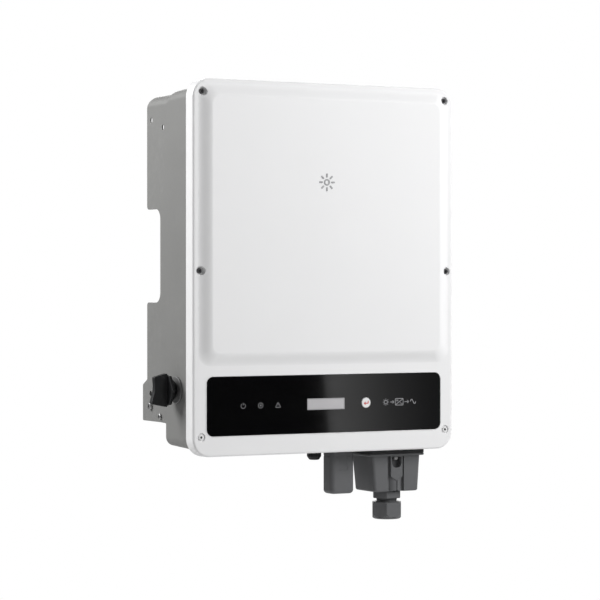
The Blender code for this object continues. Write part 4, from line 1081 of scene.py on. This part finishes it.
# ---- pieces kept from the CAD
def paint_inner_nodes():
    laminate = board("green_board")
    looks = {
        "main_board": laminate, "control_board": laminate, "display_board": laminate,
        "cover_gasket": RUBBER, "dc_switch_shaft": SCREW_STEEL, "dc_switch_body": TIP_POLYMER,
        "lcd_module": TIP_POLYMER, "button_switch": BLACK_POLYMER, "wifi_socket": DARK_POLYMER,
        "ac_terminal_block": coated("green_terminal", (0.03, 0.24, 0.08), 0.4, 1200.0, mottle=0.06),
        "power_module": coated("module_case", (0.09, 0.09, 0.1), 0.5, 1100.0, mottle=0.08),
        "emi_choke": winding("choke_winding", "Z"),
        "ribbon_cable": coated("ribbon_film", (0.42, 0.42, 0.43), 0.45, 900.0, mottle=0.05),
    }
    sleeve = coated("capacitor_sleeve", (0.02, 0.06, 0.24), 0.3, 700.0, 0.02, mottle=0.08, coat=0.3)
    potting = coated("potted_core", (0.1, 0.1, 0.11), 0.6, 500.0, 0.15, mottle=0.12)
    copper = winding("copper_winding", "X")
    green_lens = coated("green_lens", (0.08, 0.5, 0.12), 0.2, 1500.0, 0.01, coat=0.5)
    for i in range(1, 5):
        looks[f"dc_link_capacitor_{i}"] = sleeve
    for i in (1, 2):
        looks.update({f"boost_inductor_{i}": potting, f"output_inductor_{i}": copper,
                      f"grid_relay_{i}": BLACK_POLYMER})
    looks.update({"led_power": green_lens, "led_run": green_lens,
                  "led_fault": coated("red_lens", (0.5, 0.03, 0.02), 0.2, 1500.0, 0.01, coat=0.5)})
    for name, material in looks.items():
        mesh = NODES[name].data
        mesh.materials.clear()
        mesh.materials.append(material)


# ---- floor, light and camera
def floor_material():
    """Pale matt floor; the camera sees it brighter, but it throws no more light on the object."""
    look = Look("pale_floor")
    look.colour(look.mix(look.remap(look.noise(0.7, 3.0)), (0.7, 0.7, 0.7), (0.74, 0.74, 0.74)))
    look.set(Roughness=0.9, Emission_Color=(0.4, 0.4, 0.4, 1.0))
    rays = look.node("LightPath")
    look.link(rays.outputs["Is Camera Ray"], look.shader.inputs["Emission Strength"])
    return look.material


def area_light(name, place, target, size, power):
    """Rectangular lamp at place, facing target; metres and watts."""
    data = bpy.data.lights.new(name, "AREA")
    data.shape = "RECTANGLE"
    data.size, data.size_y = size
    data.energy = power
    lamp = add_object(name, data)
    lamp.location = place
    lamp.rotation_euler = (Vector(target) - Vector(place)).to_track_quat("-Z", "Y").to_euler()
    lamp.visible_camera = False
    return lamp


def make_floor():
    bm = bmesh.new()
    bmesh.ops.create_circle(bm, cap_ends=True, segments=128, radius=4.6)
    floor = new_object("floor", bm)
    floor.location.z = -1.1
    floor.data.materials.append(floor_material())


def make_world():
    """White backdrop; its light on the object is stronger from the right, weaker from above and left."""
    world = bpy.data.worlds.new("studio")
    bpy.context.scene.world = world
    world.use_nodes = True
    tree = world.node_tree
    background = tree.nodes["Background"]
    fill(background, {"Color": (1.0, 1.0, 1.0, 1.0)})
    towards = add_node(tree, "VectorMath")
    towards.operation = "DOT_PRODUCT"
    towards.inputs[1].default_value = (-0.6, 0.2, 0.6)
    tree.links.new(add_node(tree, "TexCoord").outputs["Generated"], towards.inputs[0])
    ambient = add_node(tree, "MapRange", From_Min=-0.6, From_Max=0.8, To_Min=0.62, To_Max=0.1)
    tree.links.new(towards.outputs["Value"], ambient.inputs["Value"])
    rays = add_node(tree, "LightPath")
    level = add_node(tree, "MapRange", To_Max=1.0)
    tree.links.new(rays.outputs["Is Camera Ray"], level.inputs["Value"])
    tree.links.new(ambient.outputs["Result"], level.inputs["To Min"])
    tree.links.new(level.outputs["Result"], background.inputs["Strength"])


def make_reflection_card():
    """Card seen only in glossy surfaces: black on its left, a bright edge that fades out to the right."""
    bm = bmesh.new()
    corners = [(0.30, -0.40), (1.15, -0.40), (1.15, -0.115), (0.30, -0.115)]
    bm.faces.new([bm.verts.new((x, -1.3, z)) for x, z in corners])
    card = new_object("reflection_card", bm)
    look = Look("card_glow")
    split = look.node("SeparateXYZ")
    look.link(look.stretch((1.0, 1.0, 0.1)), split.inputs["Vector"])
    tilted = look.node("Math")
    look.link(split.outputs["X"], tilted.inputs[0])
    look.link(split.outputs["Z"], tilted.inputs[1])
    ramp = look.node("ValToRGB")
    stops = ramp.color_ramp.elements
    look.link(look.remap(tilted.outputs["Value"], 0.6, 0.9), ramp.inputs["Fac"])
    stops[0].position, stops[0].color = 0.055, (0.0, 0.0, 0.0, 1.0)
    stops[1].position, stops[1].color = 1.0, (0.06, 0.06, 0.06, 1.0)
    for position, level in ((0.07, 0.75), (0.12, 0.9), (0.5, 0.32), (0.75, 0.12)):
        stops.new(position).color = (level, level, level, 1.0)
    glow = look.node("Emission")
    look.link(ramp.outputs["Color"], glow.inputs["Color"])
    look.link(glow.outputs["Emission"], look.tree.nodes["Material Output"].inputs["Surface"])
    card.data.materials.append(look.material)
    card.visible_camera = card.visible_diffuse = card.visible_shadow = card.visible_transmission = False


def make_stage():
    make_floor()
    make_world()
    make_reflection_card()
    key = area_light("key", (1.0, -1.4, 0.72), (0.0, -0.1, 0.0), (1.0, 0.9), 27.0)
    key.visible_glossy = False
    area_light("left_rear", (-1.4, 0.8, 1.0), (-0.16, -0.08, -0.1), (1.2, 1.2), 49.0)
    area_light("back", (1.3, 2.2, 0.9), (0.0, 0.0, 0.0), (1.4, 1.2), 18.0)


def make_camera():
    data = bpy.data.cameras.new("camera")
    data.lens = 145.0
    data.sensor_width = 36.0
    camera = add_object("camera", data)
    camera.location = (-1.373, -2.6155, -0.0184)
    turn, pitch = radians(28.45), radians(0.382)
    ahead = Vector((sin(turn) * cos(pitch), cos(turn) * cos(pitch), -sin(pitch)))
    camera.rotation_euler = ahead.to_track_quat("-Z", "Y").to_euler()
    bpy.context.scene.camera = camera


make_camera()
make_stage()
make_cover()
make_panel_lip()
make_sun_mark()
make_cover_screws()
make_symbols()
make_display()
make_housing()
make_heat_sink()
make_switch()
make_ac_cover()
make_gland()
make_com_port()
make_wifi_module()
make_dc_connectors()
make_side_screws()
make_bracket()
paint_inner_nodes()
bpy.context.scene.view_settings.view_transform = "Standard"
